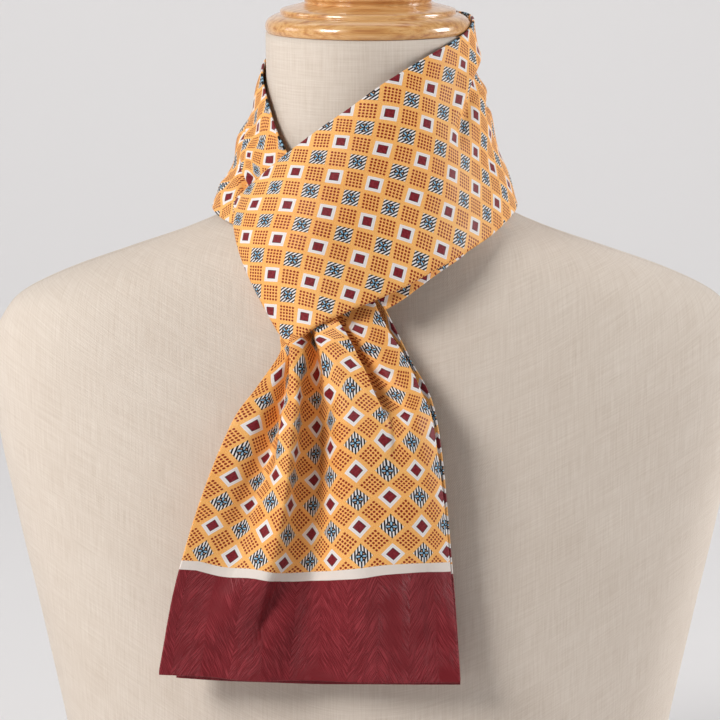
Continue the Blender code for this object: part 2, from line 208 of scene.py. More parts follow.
@dataclass(frozen=True)
class Crease:
    """A soft ridge or trough laid into a sheet.

    The places are (along, across) in the sheet's own measures.  The height is in millimetres, below
    nought for a trough.  The lean makes one flank steeper than the other.
    """

    start: tuple[float, float]
    end: tuple[float, float]
    height: float
    width: float
    bow: float = 0.0
    lean: float = 0.0
    fade_start: float = 0.35
    fade_end: float = 0.35

    SAMPLES = 40

    def rise(self, grid: np.ndarray, normal: np.ndarray, along: np.ndarray,
             across: np.ndarray) -> np.ndarray:
        """How far the crease lifts each point of the sheet.

        Args:
            grid: the sheet's points, in rows and columns.
            normal: its outward normals.
            along: the measure of each row.
            across: the measure of each column.

        Returns:
            The lift at each point, in millimetres.
        """
        step = np.linspace(0.0, 1.0, self.SAMPLES)
        first, last = np.array(self.start), np.array(self.end)
        path = first + (last - first) * step[:, None]
        sideways = np.array([last[1] - first[1], first[0] - last[0]])
        path = path + sideways * (self.bow * np.sin(math.pi * step))[:, None]
        row = np.interp(path[:, 0], along, np.arange(len(along)))
        column = np.interp(path[:, 1], across, np.arange(len(across)))
        line = read_grid(grid, row, column)
        heading = unit(np.gradient(line, axis=0))
        away = grid[:, :, None, :] - line
        distance = np.linalg.norm(away, axis=-1)
        nearest = distance.argmin(-1)
        pick = nearest[..., None]
        reach = np.take_along_axis(distance, pick, -1)[..., 0]
        offset = np.take_along_axis(away, pick[..., None], 2)[:, :, 0]
        side = np.sign(np.sum(np.cross(heading[nearest], offset) * normal, -1))
        fade = ramp(step, 0.0, self.fade_start) * ramp(step, 1.0, 1.0 - self.fade_end)
        strength = (fade ** 2 * (3 - 2 * fade))[nearest]
        spread = self.width * (1.0 + self.lean * side)
        return self.height * strength * np.exp(-(reach / spread) ** 2)


@dataclass(frozen=True)
class Unevenness:
    """The slow rise and fall of a cloth that doesn't lie quite flat.

    Each wave has a length, a heading over the cloth, a height and a phase.
    """

    waves: Rows = (
        (46, 20, 0.35, 0.3), (31, -35, 0.22, 1.9), (19, 62, 0.12, 4.1),
        (67, 80, 0.4, 2.6),
    )

    def rise(self, grid: np.ndarray, strength: float) -> np.ndarray:
        """How far it lifts each point.

        Args:
            grid: the sheet's points, in rows and columns.
            strength: a factor on the heights.

        Returns:
            The lift at each point, in millimetres.
        """
        down, right = path_lengths(grid, 0), path_lengths(grid, 1)
        lift = np.zeros(grid.shape[:2])
        for length, heading, height, phase in self.waves:
            turn = math.radians(heading)
            run = down * math.cos(turn) + right * math.sin(turn)
            lift += height * np.sin(2.0 * math.pi * run / length + phase)
        return lift * strength


def creased(grid: np.ndarray, creases: Sequence[Crease], along: np.ndarray, across: np.ndarray,
            slack: float) -> tuple[np.ndarray, np.ndarray]:
    """How the creases and the cloth's unevenness lift a sheet.

    Args:
        grid: the sheet's points, in rows and columns.
        creases: the creases that are laid into it.
        along: the measure of each row.
        across: the measure of each column.
        slack: a factor on the unevenness.

    Returns:
        The outward normals, and the lift along them in millimetres.
    """
    normal = surface_frame(grid)[0]
    lift = Unevenness().rise(grid, slack)
    for crease in creases:
        lift = lift + crease.rise(grid, normal, along, across)
    return normal, lift


# ---------------------------------------------------------------- meshes
def add_mesh(name: str, points: np.ndarray, faces: list, material: bpy.types.Material,
             maps: dict[str, np.ndarray]) -> bpy.types.Object:
    """A new object that rides on the part's only body.

    Args:
        name: the object's name.
        points: its points, in millimetres.
        faces: the point numbers of each face.
        material: its finish.
        maps: UV maps by name, with one pair of numbers for each point.

    Returns:
        The object.
    """
    mesh = bpy.data.meshes.new(name)
    mesh.from_pydata(np.asarray(points) * MM, [], faces)
    corners = np.empty(len(mesh.loops), int)
    mesh.loops.foreach_get("vertex_index", corners)
    for title, places in maps.items():
        layer = mesh.uv_layers.new(name=title)
        layer.data.foreach_set("uv", places[corners].astype(np.float32).ravel())
    mesh.shade_smooth()
    mesh.materials.append(material)
    mesh.validate()
    built = bpy.data.objects.new(name, mesh)
    bpy.context.scene.collection.objects.link(built)
    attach(built, "root")
    LOG.info("%s: %d faces", name, len(mesh.polygons))
    return built


@dataclass
class ClothShell:
    """A double-ply sheet with soft, pressed edges, round a middle surface."""

    grid: np.ndarray
    print_at: np.ndarray
    wall: float = 1.1
    edge_swell: float = 0.22
    edge_line: float = 1.6
    edge_depth: float = 3.2

    EDGE_POWER = 4
    RIM_TURNS = (40.0, 90.0, 140.0)
    FACE_SHARE = 0.66
    BAKE_GAP = 0.02

    def thickness(self) -> np.ndarray:
        """How thick the cloth is: its turned-in edges are a little thicker.

        Returns:
            Half the wall at each point.
        """
        down, right = path_lengths(self.grid, 0), path_lengths(self.grid, 1)
        edge = np.minimum(np.minimum(down, down[-1:] - down), np.minimum(right, right[:, -1:] - right))
        swell = np.exp(-((edge - self.edge_line) / self.edge_depth) ** self.EDGE_POWER)
        return 0.5 * (self.wall + self.edge_swell * swell)

    def rim(self) -> tuple[np.ndarray, np.ndarray]:
        """The grid's border, in order round it.

        Returns:
            The rows and the columns of the border's points.
        """
        rows, columns = self.grid.shape[:2]
        loop = [(row, 0) for row in range(rows)]
        loop += [(rows - 1, column) for column in range(1, columns)]
        loop += [(row, columns - 1) for row in range(rows - 2, -1, -1)]
        loop += [(0, column) for column in range(columns - 2, 0, -1)]
        order = np.array(loop)
        return order[:, 0], order[:, 1]

    def build(self, name: str, material: bpy.types.Material) -> bpy.types.Object:
        """The shell as a mesh.

        Args:
            name: the object's name.
            material: the printed satin.

        Returns:
            The object.
        """
        normal = surface_frame(self.grid)[0]
        half = self.thickness()
        rows, columns = self.grid.shape[:2]
        count = rows * columns
        down, right = np.meshgrid(np.linspace(0, 1, rows), np.linspace(0, 1, columns), indexing="ij")
        top = np.stack([right, down * self.FACE_SHARE], -1).reshape(-1, 2)
        start = self.FACE_SHARE + self.BAKE_GAP
        under = np.stack([right, start + down * (1.0 - start)], -1).reshape(-1, 2)
        points = [(self.grid + normal * half[..., None]).reshape(-1, 3),
                  (self.grid - normal * half[..., None]).reshape(-1, 3)]
        printed = self.print_at.reshape(-1, 2)
        bake, pattern = [top, under], [printed, printed]
        number = np.arange(count).reshape(rows, columns)
        quads = grid_faces(number)
        faces = np.concatenate([quads[:, ::-1], count + quads])
        row, column = self.rim()
        inside = (np.clip(row, 1, rows - 2), np.clip(column, 1, columns - 2))
        outward = unit(self.grid[row, column] - self.grid[inside])
        border, thick = self.grid[row, column], half[row, column][:, None]
        rings = [number[row, column]]
        for index, turn in enumerate(np.radians(self.RIM_TURNS)):
            aside, upward = thick * math.sin(turn), thick * math.cos(turn)
            points.append(border + outward * aside + normal[row, column] * upward)
            bake.append(np.clip(top[number[row, column]], HAIR, 1.0 - HAIR))
            pattern.append(printed[number[row, column]])
            rings.append(2 * count + index * len(row) + np.arange(len(row)))
        rings.append(count + number[row, column])
        for near, far in zip(rings[:-1], rings[1:]):
            strip = np.stack([near, np.roll(near, -1), np.roll(far, -1), far], -1)
            faces = np.concatenate([faces, strip])
        return add_mesh(name, np.concatenate(points), faces.tolist(), material,
                        {"OFBake": np.concatenate(bake), "print": np.concatenate(pattern)})


# ---------------------------------------------------------------- shader expressions
class Wire:
    """A node's output that takes part in Python expressions."""

    def __init__(self, board: "Board", socket: bpy.types.NodeSocket) -> None:
        """Hold the output of a node on a board."""
        self.board = board
        self.socket = socket

    def math(self, operation: str, *others: Any) -> "Wire":
        """A Math node on this value and the others."""
        inputs = dict(enumerate((self, *others)))
        return self.board.node("ShaderNodeMath", {"operation": operation}, inputs)

    def __add__(self, other: Any) -> "Wire":
        """The sum."""
        return self.math("ADD", other)

    def __sub__(self, other: Any) -> "Wire":
        """The difference."""
        return self.math("SUBTRACT", other)

    def __mul__(self, other: Any) -> "Wire":
        """The product."""
        return self.math("MULTIPLY", other)

    def __truediv__(self, other: Any) -> "Wire":
        """The quotient."""
        return self.math("DIVIDE", other)

    def __rsub__(self, other: Any) -> "Wire":
        """A number less this value."""
        return self.board.node("ShaderNodeMath", {"operation": "SUBTRACT"}, {0: other, 1: self})

    def __abs__(self) -> "Wire":
        """This value without its sign."""
        return self.math("ABSOLUTE")

    def near_whole(self) -> "Wire":
        """The whole number next to this value."""
        return (self + 0.5).math("FLOOR")

    def from_whole(self) -> "Wire":
        """How far this value is from the whole number next to it."""
        return self - self.near_whole()

    def odd(self) -> "Wire":
        """One where this whole number is odd."""
        return (self * 0.5).math("FRACT").math("GREATER_THAN", 0.25)

    def above(self, edge: float, soft: float) -> "Wire":
        """A soft step from nought to one at an edge.

        Args:
            edge: the value at the step's middle.
            soft: half the step's width.

        Returns:
            The step.
        """
        ends = {"Value": self, "From Min": edge - soft, "From Max": edge + soft}
        return self.board.node("ShaderNodeMapRange", {"interpolation_type": "SMOOTHSTEP"}, ends)

    def below(self, edge: float, soft: float) -> "Wire":
        """A soft step from one to nought at an edge."""
        return 1.0 - self.above(edge, soft)


class Board:
    """A new material's nodes."""

    def __init__(self, name: str) -> None:
        """Start an empty material.

        Args:
            name: its name.
        """
        self.material = bpy.data.materials.new(name)
        self.material.use_nodes = True
        self.nodes = self.material.node_tree.nodes
        self.nodes.clear()

    def node(self, kind: str, settings: dict[str, Any], inputs: dict[Any, Any], output: Any = 0) -> Wire:
        """A new node.

        Args:
            kind: the node's type.
            settings: its properties, set first; "stops" are a ramp's places and colours.
            inputs: values or wires by the socket's name or number.
            output: the name or number of the output to give back.

        Returns:
            The output.
        """
        made = self.nodes.new(kind)
        for key, value in settings.items():
            if key == "stops":
                while len(made.color_ramp.elements) < len(value):
                    made.color_ramp.elements.new(0.5)
                for element, (place, colour) in zip(made.color_ramp.elements, value):
                    element.position = place
                    element.color = (*colour, 1.0)
            else:
                setattr(made, key, value)
        for key, value in inputs.items():
            if isinstance(value, Wire):
                self.material.node_tree.links.new(value.socket, made.inputs[key])
            else:
                made.inputs[key].default_value = value
        return Wire(self, made.outputs[output])

    def mix(self, share: Any, first: Any, second: Any) -> Wire:
        """A colour between two.

        Args:
            share: how much of the second.
            first: a colour or a wire.
            second: a colour or a wire.

        Returns:
            The colour.
        """
        ends = [end if isinstance(end, Wire) else (*end, 1.0) for end in (first, second)]
        return self.node("ShaderNodeMix", {"data_type": "RGBA"}, {0: share, 6: ends[0], 7: ends[1]}, 2)

    def join(self, x: Any, y: Any, z: Any = 0.0) -> Wire:
        """A vector from three values."""
        return self.node("ShaderNodeCombineXYZ", {}, {0: x, 1: y, 2: z})

    def parts(self, vector: Wire) -> list[Wire]:
        """The three values of a vector."""
        split = self.node("ShaderNodeSeparateXYZ", {}, {0: vector})
        return [Wire(self, output) for output in split.socket.node.outputs]

    def noise(
        self, place: Wire, scale: float = 1.0, detail: float = 2.0, roughness: float = 0.5
    ) -> Wire:
        """Smooth noise round one half."""
        sizes = {"Vector": place, "Scale": scale, "Detail": detail, "Roughness": roughness}
        return self.node("ShaderNodeTexNoise", {}, sizes)

    def finish(self, height: Wire, **sockets: Any) -> bpy.types.Material:
        """Close the material with a shader.

        Args:
            height: the relief, in millimetres.
            sockets: the shader's sockets, with underscores for spaces.

        Returns:
            The material.
        """
        bump = self.node("ShaderNodeBump", {}, {"Strength": 1.0, "Distance": MM, "Height": height})
        values = {name.replace("_", " "): value for name, value in sockets.items()}
        shader = self.node("ShaderNodeBsdfPrincipled", {}, {**values, "Normal": bump})
        output = self.nodes.new("ShaderNodeOutputMaterial")
        self.material.node_tree.links.new(shader.socket, output.inputs["Surface"])
        return self.material


@dataclass(frozen=True)
class Cloud:
    """Smooth noise with a scale of its own each way.  The layer keeps two clouds apart."""

    across: float
    along: float
    layer: float = 0.0
    detail: float = 2.0
    roughness: float = 0.5

    def over(self, board: Board, x: Wire, y: Wire) -> Wire:
        """The cloud at each point of a surface."""
        place = board.join(x * self.across, y * self.along, self.layer)
        return board.noise(place, detail=self.detail, roughness=self.roughness)


# ---------------------------------------------------------------- finishes
@dataclass(frozen=True)
class PrintedSatin:
    """Satin with a small diamond print, a white line and a plain dark red end.

    The map "print" gives the column and the row of the print at each point.  Motifs lie on whole
    numbers, squares of dots between them.  Rows below the end's step belong to the scarf's end.  The
    sizes of the motifs are shares of a square's side.
    """

    ground: Colour = srgb(255, 202, 124)
    ground_deep: Colour = srgb(240, 158, 74)
    dot: Colour = srgb(142, 30, 10)
    chalk: Colour = srgb(238, 233, 232)
    wine: Colour = srgb(112, 20, 30)
    wine_light: Colour = srgb(138, 42, 50)
    ink: Colour = srgb(10, 10, 20)
    petal: Colour = srgb(146, 190, 218)
    thread: Colour = srgb(196, 180, 178)
    tan: Colour = srgb(196, 146, 110)
    end: Colour = srgb(114, 22, 30)
    # the end's lighter colour: a painted sheen on the floating threads of its woven strokes, and the
    # light side of its random slow tone
    end_sheen_and_tone: Colour = srgb(164, 60, 68)
    line: Colour = srgb(232, 222, 214)
    end_step: Step = (0.25, 0.012)
    line_step: Step = (0.6, 0.012)
    dot_pitch: float = 0.17
    dot_step: Step = (0.355, 0.07)
    dot_field: Step = (0.425, 0.004)
    diamond_rise: float = 0.523
    diamond_fall: float = 0.483
    heart_ink: Step = (0.212, 0.012)
    heart_chalk: Step = (0.234, 0.012)
    heart_seam: float = 0.315
    seam_step: Step = (0.012, 0.012)
    seam_share: float = 0.35
    wear_scale: float = 9.0
    wear_step: Step = (0.5, 0.2)
    stripes: float = 5.0
    stripe_step: Step = (0.255, 0.05)
    body_step: Step = (0.392, 0.012)
    tip_step: Step = (0.412, 0.012)
    disc_step: Step = (0.245, 0.02)
    spot_place: float = 0.155
    spot_step: Step = (0.033, 0.012)
    petal_place: float = 0.145
    petal_sizes: tuple[float, float] = (0.0085, 0.0017)
    petal_step: Step = (1.0, 0.2)
    figure_start: float = 1.7
    figure_period: float = 1.94
    figure_slope: float = 1.85
    figure_strokes: float = 22.0
    figure_grain: tuple[float, float] = (2.6, 7.0)
    figure_ragged: float = 0.12
    figure_step: Step = (0.5, 0.09)
    figure_relief: float = 0.17
    faint_relief: float = 0.035
    ragged: Cloud = Cloud(2.2, 1.1, 4.0, 1.0)
    hush: Cloud = Cloud(0.8, 0.7, 9.0, 1.0)
    hush_step: Step = (0.38, 0.14)
    slow: Cloud = Cloud(0.35, 0.35)
    slow_step: Step = (0.5, 0.25)
    threads: Cloud = Cloud(38.0, 32.0, 0.0, 1.0)
    thread_step: Step = (0.5, 0.12)
    ground_shares: tuple[float, float] = (0.25, 0.7)
    end_shares: tuple[float, float] = (0.62, 0.12)
    weave: Cloud = Cloud(42.0, 42.0, 0.0, 1.0)
    weave_relief: float = 0.05
    roughness: float = 0.5
    gloss_shares: tuple[float, float] = (0.1, 0.06)
    reflectance: float = 0.24

    def dots(self, board: Board, x: Wire, y: Wire, ground: Wire) -> Wire:
        """A square of five by five dots.

        Args:
            board: the material's nodes.
            x: the place along the square's first side, nought in its middle.
            y: the place along its other side.
            ground: the colour between the dots.

        Returns:
            The square's colour.
        """
        dot_x, dot_y = (x / self.dot_pitch).from_whole(), (y / self.dot_pitch).from_whole()
        field = abs(x).math("MAXIMUM", abs(y)).below(*self.dot_field)
        radius = (dot_x * dot_x + dot_y * dot_y).math("SQRT")
        return board.mix(radius.below(*self.dot_step) * field, ground, self.dot)

    def heart(self, board: Board, x: Wire, y: Wire, cell: Wire, diamond: Wire) -> Wire:
        """A chalk square round a wine one.

        Args:
            board: the material's nodes.
            x: the place along the square's first side.
            y: the place along its other side.
            cell: the number of the square's column.
            diamond: how far out each point lies, towards the square's edges.

        Returns:
            The motif's colour.
        """
        worn = board.noise(board.join(x * self.wear_scale, y * self.wear_scale, cell))
        heart = board.mix(worn.above(*self.wear_step), self.wine, self.wine_light)
        heart = board.mix(diamond.above(*self.heart_ink), heart, self.ink)
        heart = board.mix(diamond.above(*self.heart_chalk), heart, self.chalk)
        seam = abs(diamond - self.heart_seam).below(*self.seam_step)
        return board.mix(seam * self.seam_share, heart, self.thread)

    def flower(self, board: Board, x: Wire, y: Wire, stripe: Wire) -> Wire:
        """Stripes with a flower on them: a dark disc, four petals and four spots.

        Args:
            board: the material's nodes.
            x: the place along the square's first side.
            y: the place along its other side.
            stripe: one on the dark stripes.

        Returns:
            The motif's colour.
        """
        colour = board.mix(stripe, self.chalk, self.ink)
        disc = (x * x + y * y).math("SQRT")
        colour = board.mix(disc.below(*self.disc_step), colour, self.ink)
        far, near = abs(x).math("MAXIMUM", abs(y)), abs(x).math("MINIMUM", abs(y))
        out = far - self.spot_place
        spot = (out * out + near * near).math("SQRT")
        colour = board.mix(spot.below(*self.spot_step), colour, self.tan)
        length, width = self.petal_sizes
        along, beside = (x + y) * math.sqrt(0.5), (x - y) * math.sqrt(0.5)
        for run, side in ((along, beside), (beside, along)):
            reach = abs(run) - self.petal_place
            petal = reach * reach / length + side * side / width
            colour = board.mix(petal.below(*self.petal_step), colour, self.petal)
        return colour

    def motifs(self, board: Board, across: Wire, row: Wire, ground: Wire) -> Wire:
        """The print's colour.

        Args:
            board: the material's nodes.
            across: the column at each point.
            row: the row at each point.
            ground: the colour between the motifs.

        Returns:
            The colour at each point.
        """
        rise, fall = across + row, across - row
        cell_x, cell_y = rise.near_whole(), fall.near_whole()
        x, y = rise - cell_x, fall - cell_y
        diamond = abs(x + y) * self.diamond_rise + abs(x - y) * self.diamond_fall
        stripe = abs(((x + y) * self.stripes).from_whole()).below(*self.stripe_step)
        flower, heart = self.flower(board, x, y, stripe), self.heart(board, x, y, cell_x, diamond)
        tips = diamond.below(*self.tip_step) * stripe * (1.0 - cell_x.odd())
        serrated = diamond.below(*self.body_step).math("MAXIMUM", tips)
        motif = board.mix(serrated, ground, board.mix(cell_x.odd(), flower, heart))
        return board.mix((cell_x + cell_y).odd(), motif, self.dots(board, x, y, ground))

    def feather(self, board: Board, across: Wire, row: Wire) -> Wire:
        """The woven figure: slanting strokes in a herringbone with ragged edges, from nought to one.

        Args:
            board: the material's nodes.
            across: the distance across, in columns.
            row: the distance along, in rows.

        Returns:
            The height of the strokes.
        """
        ragged = self.ragged.over(board, across, row) - 0.5
        place = (across - self.figure_start + ragged * self.figure_ragged) / self.figure_period
        fold = abs(place.from_whole()) * self.figure_period
        stroke = (row + fold * self.figure_slope) * self.figure_strokes
        length, apart = self.figure_grain
        grain = board.join(stroke, fold * length + place.near_whole() * apart)
        hush = self.hush.over(board, across, row).above(*self.hush_step)
        return board.noise(grain, detail=1.5).above(*self.figure_step) * hush

    def build(self) -> bpy.types.Material:
        """The cloth's finish.

        Returns:
            The material.
        """
        board = Board("printed satin")
        places = board.node("ShaderNodeUVMap", {"uv_map": "print"}, {})
        across, row, _ = board.parts(places)
        slow = self.slow.over(board, across, row)
        thread = self.threads.over(board, across, row).above(*self.thread_step)
        slow_share, thread_share = self.ground_shares
        deep = slow.above(*self.slow_step) * slow_share + thread * thread_share
        ground = board.mix(deep, self.ground, self.ground_deep)
        strokes = self.feather(board, across, row)
        is_end, is_line = row.below(*self.end_step), row.below(*self.line_step)
        pattern = board.mix(is_line, self.motifs(board, across, row, ground), self.line)
        stroke_share, slow_share = self.end_shares
        # the end is painted lighter on the woven strokes as the sheen of their floating threads, and
        # lighter or darker at random with the slow cloud
        plain = board.mix(strokes * stroke_share + slow * slow_share, self.end, self.end_sheen_and_tone)
        colour = board.mix(is_end, pattern, plain)
        relief = strokes * (is_end * self.figure_relief + self.faint_relief)
        relief = relief + (self.weave.over(board, across, row) - 0.5) * self.weave_relief
        stroke_share, slow_share = self.gloss_shares
        dull = self.roughness - strokes * is_end * stroke_share + (slow - 0.5) * slow_share
        return board.finish(relief, Base_Color=colour, Roughness=dull,
                            Specular_IOR_Level=self.reflectance)


@dataclass(frozen=True)
class Linen:
    """Plain woven linen, with thicker threads here and there, sewn in panels.

    The map "weave" gives the distance round the form from its middle front, and down from the neck's
    top, in millimetres.
    """

    pale: Colour = srgb(233, 222, 210)
    deep: Colour = srgb(206, 190, 174)
    seam: Colour = srgb(176, 158, 140)
    thread: float = 0.85
    warp: Cloud = Cloud(1.15, 0.045, 0.0, 2.0, 0.6)
    weft: Cloud = Cloud(0.04, 1.15, 5.0, 2.0, 0.6)
    shade: Cloud = Cloud(0.02, 0.02)
    slub: float = 0.8
    slub_share: float = 1.1
    weave_share: float = 0.10
    shade_share: float = 0.35
    darkness: float = 0.30
    slub_relief: float = 0.10
    weave_relief: float = 0.045
    seam_step: Step = (0.0011, 0.0007)
    seam_share: float = 0.6
    seam_depth: float = 0.5
    roughness: float = 0.88
    reflectance: float = 0.25
    sheen: float = 0.15

    def build(self, seams: Sequence[float]) -> bpy.types.Material:
        """The finished material.

        Args:
            seams: how far round the seams lie, as shares of the way from the middle back.

        Returns:
            The material.
        """
        board = Board("form linen")
        around_it, up, _ = board.parts(board.node("ShaderNodeUVMap", {"uv_map": "weave"}, {}))
        share, _, _ = board.parts(board.node("ShaderNodeUVMap", {"uv_map": "OFBake"}, {}))
        warp, weft = (cloud.over(board, around_it, up) - 0.5 for cloud in (self.warp, self.weft))
        turn = 2.0 * math.pi / self.thread
        over = (around_it * turn).math("SINE") * (up * turn).math("SINE")
        slub = warp * self.slub + weft * self.slub
        shade = self.shade.over(board, around_it, up) * self.shade_share
        mixed = slub * self.slub_share + over * self.weave_share + shade + self.darkness
        mixed = mixed.math("MINIMUM", 1.0).math("MAXIMUM", 0.0)
        colour = board.mix(mixed, self.pale, self.deep)
        relief = slub * self.slub_relief + over * self.weave_relief
        for place in seams:
            groove = abs(share - place).below(*self.seam_step)
            colour = board.mix(groove * self.seam_share, colour, self.seam)
            relief = relief - groove * self.seam_depth
        return board.finish(relief, Base_Color=colour, Roughness=self.roughness,
                            Specular_IOR_Level=self.reflectance, Sheen_Weight=self.sheen)


@dataclass(frozen=True)
class VarnishedWood:
    """Honey-coloured turned wood under a glossy varnish."""

    light: Colour = srgb(232, 184, 124)
    middle: Colour = srgb(214, 156, 92)
    dark: Colour = srgb(184, 120, 68)
    bend_scales: tuple[float, ...] = (14.0, 14.0, 20.0)
    ring_scales: tuple[float, ...] = (8.0, 330.0, 520.0)
    ring_bends: tuple[float, float] = (1.6, 2.4)
    pore_scales: tuple[float, ...] = (60.0, 1500.0, 1500.0)
    pore_step: Step = (0.62, 0.06)
    pore_share: float = 0.35
    tone_places: tuple[float, ...] = (0.30, 0.46, 0.62, 0.8)
    reliefs: tuple[float, float] = (0.05, 0.02)
    roughness: float = 0.3
    coat: float = 0.8
    coat_roughness: float = 0.08

    def build(self) -> bpy.types.Material:
        """The finish of the cap, its grain along x.

        Returns:
            The material.
        """
        board = Board("varnished wood")
        place = board.node("ShaderNodeTexCoord", {}, {}, "Object")
        axes = board.parts(place)
        x, y, z = (axis * scale for axis, scale in zip(axes, self.ring_scales))
        bend = board.noise(board.join(*(axis * scale for axis, scale in zip(axes, self.bend_scales))))
        grain = board.join(x, y + bend * self.ring_bends[0], z + bend * self.ring_bends[1])
        rings = board.noise(grain, 1.0, 3.0, 0.6)
        pores = board.noise(board.join(*(axis * scale for axis, scale in zip(axes, self.pore_scales))))
        tones = zip(self.tone_places, (self.dark, self.middle, self.light, self.middle))
        colour = board.node("ShaderNodeValToRGB", {"stops": list(tones)}, {0: rings})
        colour = board.mix(pores.above(*self.pore_step) * self.pore_share, colour, self.dark)
        relief = rings * self.reliefs[0] + pores * self.reliefs[1]
        return board.finish(relief, Base_Color=colour, Roughness=self.roughness,
                            Coat_Weight=self.coat, Coat_Roughness=self.coat_roughness)


@dataclass(frozen=True)
class Paint:
    """Smooth matte paint for the studio."""

    colour: Colour = srgb(226, 224, 224)
    cloud_scale: float = 1.5
    darkening: float = 0.985
    relief: float = 0.2
    roughness: float = 0.95
    reflectance: float = 0.1

    def build(self) -> bpy.types.Material:
        """The finish of the studio, with a trace of unevenness.

        Returns:
            The material.
        """
        board = Board("studio paint")
        place = board.node("ShaderNodeTexCoord", {}, {}, "Object")
        cloud = board.noise(place, self.cloud_scale)
        darker = tuple(channel * self.darkening for channel in self.colour)
        return board.finish(cloud * self.relief, Base_Color=board.mix(cloud, self.colour, darker),
                            Roughness=self.roughness, Specular_IOR_Level=self.reflectance)


# ---------------------------------------------------------------- the form
@dataclass
class DressForm:
    """The limbless torso in its linen cover, on a flat base."""

    rows: Rows = (
        (0, 158, 92, 90, 2.3), (80, 170, 97, 97, 2.3), (160, 187, 99.5, 104, 2.3),
        (230, 203, 100, 110, 2.25), (280, 213, 96.5, 111, 2.2), (315, 215, 88.5, 108, 2.2),
        (337, 210, 81.5, 101, 2.15), (352, 197, 77, 94, 2.1), (364, 172, 73, 88, 2.1),
        (376, 138, 69.5, 82, 2.05), (388, 103, 66, 77, 2), (398, 81, 63.5, 73.5, 2),
        (404, 72.5, 62.5, 71, 2), (412, 68, 61.8, 67.5, 2), (428, 61.8, 60, 62, 2),
        (450, 58.8, 58.6, 59.2, 2), (500, 58.4, 58.2, 58.4, 2),
    )
    base_round: float = 4.0
    sides: int = 180
    rings: int = 150
    seams: tuple[float, ...] = (0.25, 0.75)

    COLUMNS = ("height", "half_width", "front", "back", "squareness")
    BASE_TURNS = (0.0, 30.0, 60.0)

    def ring(self, half_width: float, front: float, back: float, squareness: float,
             height: float) -> np.ndarray:
        """One level ring, from the middle back round by the right.

        Args:
            half_width: half the form's width there.
            front: how far it reaches to the front.
            back: how far it reaches to the back.
            squareness: 2 for an ellipse, more for a squarer ring.
            height: its height.

        Returns:
            The ring's points, the last on the first.
        """
        turn = np.linspace(0.5 * math.pi, -1.5 * math.pi, self.sides + 1)
        power = 2.0 / squareness
        x = half_width * np.sign(np.cos(turn)) * np.abs(np.cos(turn)) ** power
        depth = np.where(np.sin(turn) < 0.0, front, back)
        y = depth * np.sign(np.sin(turn)) * np.abs(np.sin(turn)) ** power
        return np.stack([x, y, np.full_like(x, height)], -1)

    def build(self, finish: Linen) -> bpy.types.Object:
        """The cover as a closed mesh.

        Args:
            finish: its cloth.

        Returns:
            The object.
        """
        columns = table(self.COLUMNS, self.rows)
        steps = np.linspace(0.0, len(self.rows) - 1.0, self.rings)
        heights = np.interp(steps, np.arange(len(self.rows)), columns["height"])
        sizes = {name: smooth_curve(columns["height"], columns[name], heights)
                 for name in self.COLUMNS[1:]}
        rings = []
        for turn in np.radians(self.BASE_TURNS):
            inset = self.base_round * (1.0 - math.sin(turn))
            size = [sizes[name][0] - inset for name in self.COLUMNS[1:4]]
            height = self.base_round * (1.0 - math.cos(turn))
            rings.append(self.ring(*size, sizes["squareness"][0], height))
        rings += [self.ring(*(sizes[name][index] for name in self.COLUMNS[1:]), height)
                  for index, height in enumerate(heights) if height >= self.base_round]
        grid = np.stack(rings)
        rows, sides = grid.shape[:2]
        number = np.arange(rows * sides).reshape(rows, sides)
        faces = np.roll(grid_faces(number), -1, axis=1).tolist()
        faces.append(number[0, :-1].tolist())
        faces.append(number[-1, :-1][::-1].tolist())
        arc, rise = path_lengths(grid, 1), path_lengths(grid, 0)
        woven = np.stack([arc - arc[:, sides // 2, None], rise - rise[-1]], -1)
        up, share = np.meshgrid(np.linspace(0, 1, rows), np.linspace(0, 1, sides), indexing="ij")
        maps = {"OFBake": np.stack([share, up], -1).reshape(-1, 2), "weave": woven.reshape(-1, 2)}
        cover = add_mesh("form_cover", grid.reshape(-1, 3), faces, finish.build(self.seams), maps)
        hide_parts("form_body")
        return cover


@dataclass
class NeckCap:
    """The turned cap on the form's neck, with its grooves and a low knob."""

    profile: Rows = (
        (57.2, 0.3), (58.3, 1.5), (58.7, 3.8), (58.1, 6.3), (56.4, 8.4), (53.2, 10.2),
        (50.4, 11), (50.2, 12.3), (49.4, 13.6), (45.5, 14.8), (40, 16.2), (36.4, 17.5),
        (36.6, 18.8), (38, 20.4), (38.1, 23), (36.2, 25.2), (31, 27.2), (22, 28.6),
        (15.5, 29.3), (14.6, 30.6), (16.4, 33), (17, 36), (15.2, 39.6), (10.4, 42.4), (4, 43.7),
    )
    seat: float = 500.0
    sides: int = 128
    rings_each: int = 5

    def build(self, finish: VarnishedWood) -> bpy.types.Object:
        """The cap as a closed mesh.

        Args:
            finish: its wood.

        Returns:
            The object.
        """
        bends = len(self.profile) - 1
        steps = np.linspace(0.0, bends, bends * self.rings_each + 1)
        shape = smooth_curve(np.arange(bends + 1), self.profile, steps)
        turn = np.linspace(0.0, 360.0, self.sides, endpoint=False)
        rings = [around(turn, np.full_like(turn, radius), np.full_like(turn, self.seat + height))
                 for radius, height in shape]
        count = len(rings)
        number = np.arange(count * self.sides).reshape(count, self.sides)
        beside = np.roll(number, -1, axis=1)
        faces = np.stack([number[:-1], beside[:-1], beside[1:], number[1:]], -1).reshape(-1, 4).tolist()
        faces.append(number[0, ::-1].tolist())
        faces.append(number[-1].tolist())
        cap = add_mesh("turned_cap", np.concatenate(rings), faces, finish.build(), {})
        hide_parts("neck_cap")
        return cap


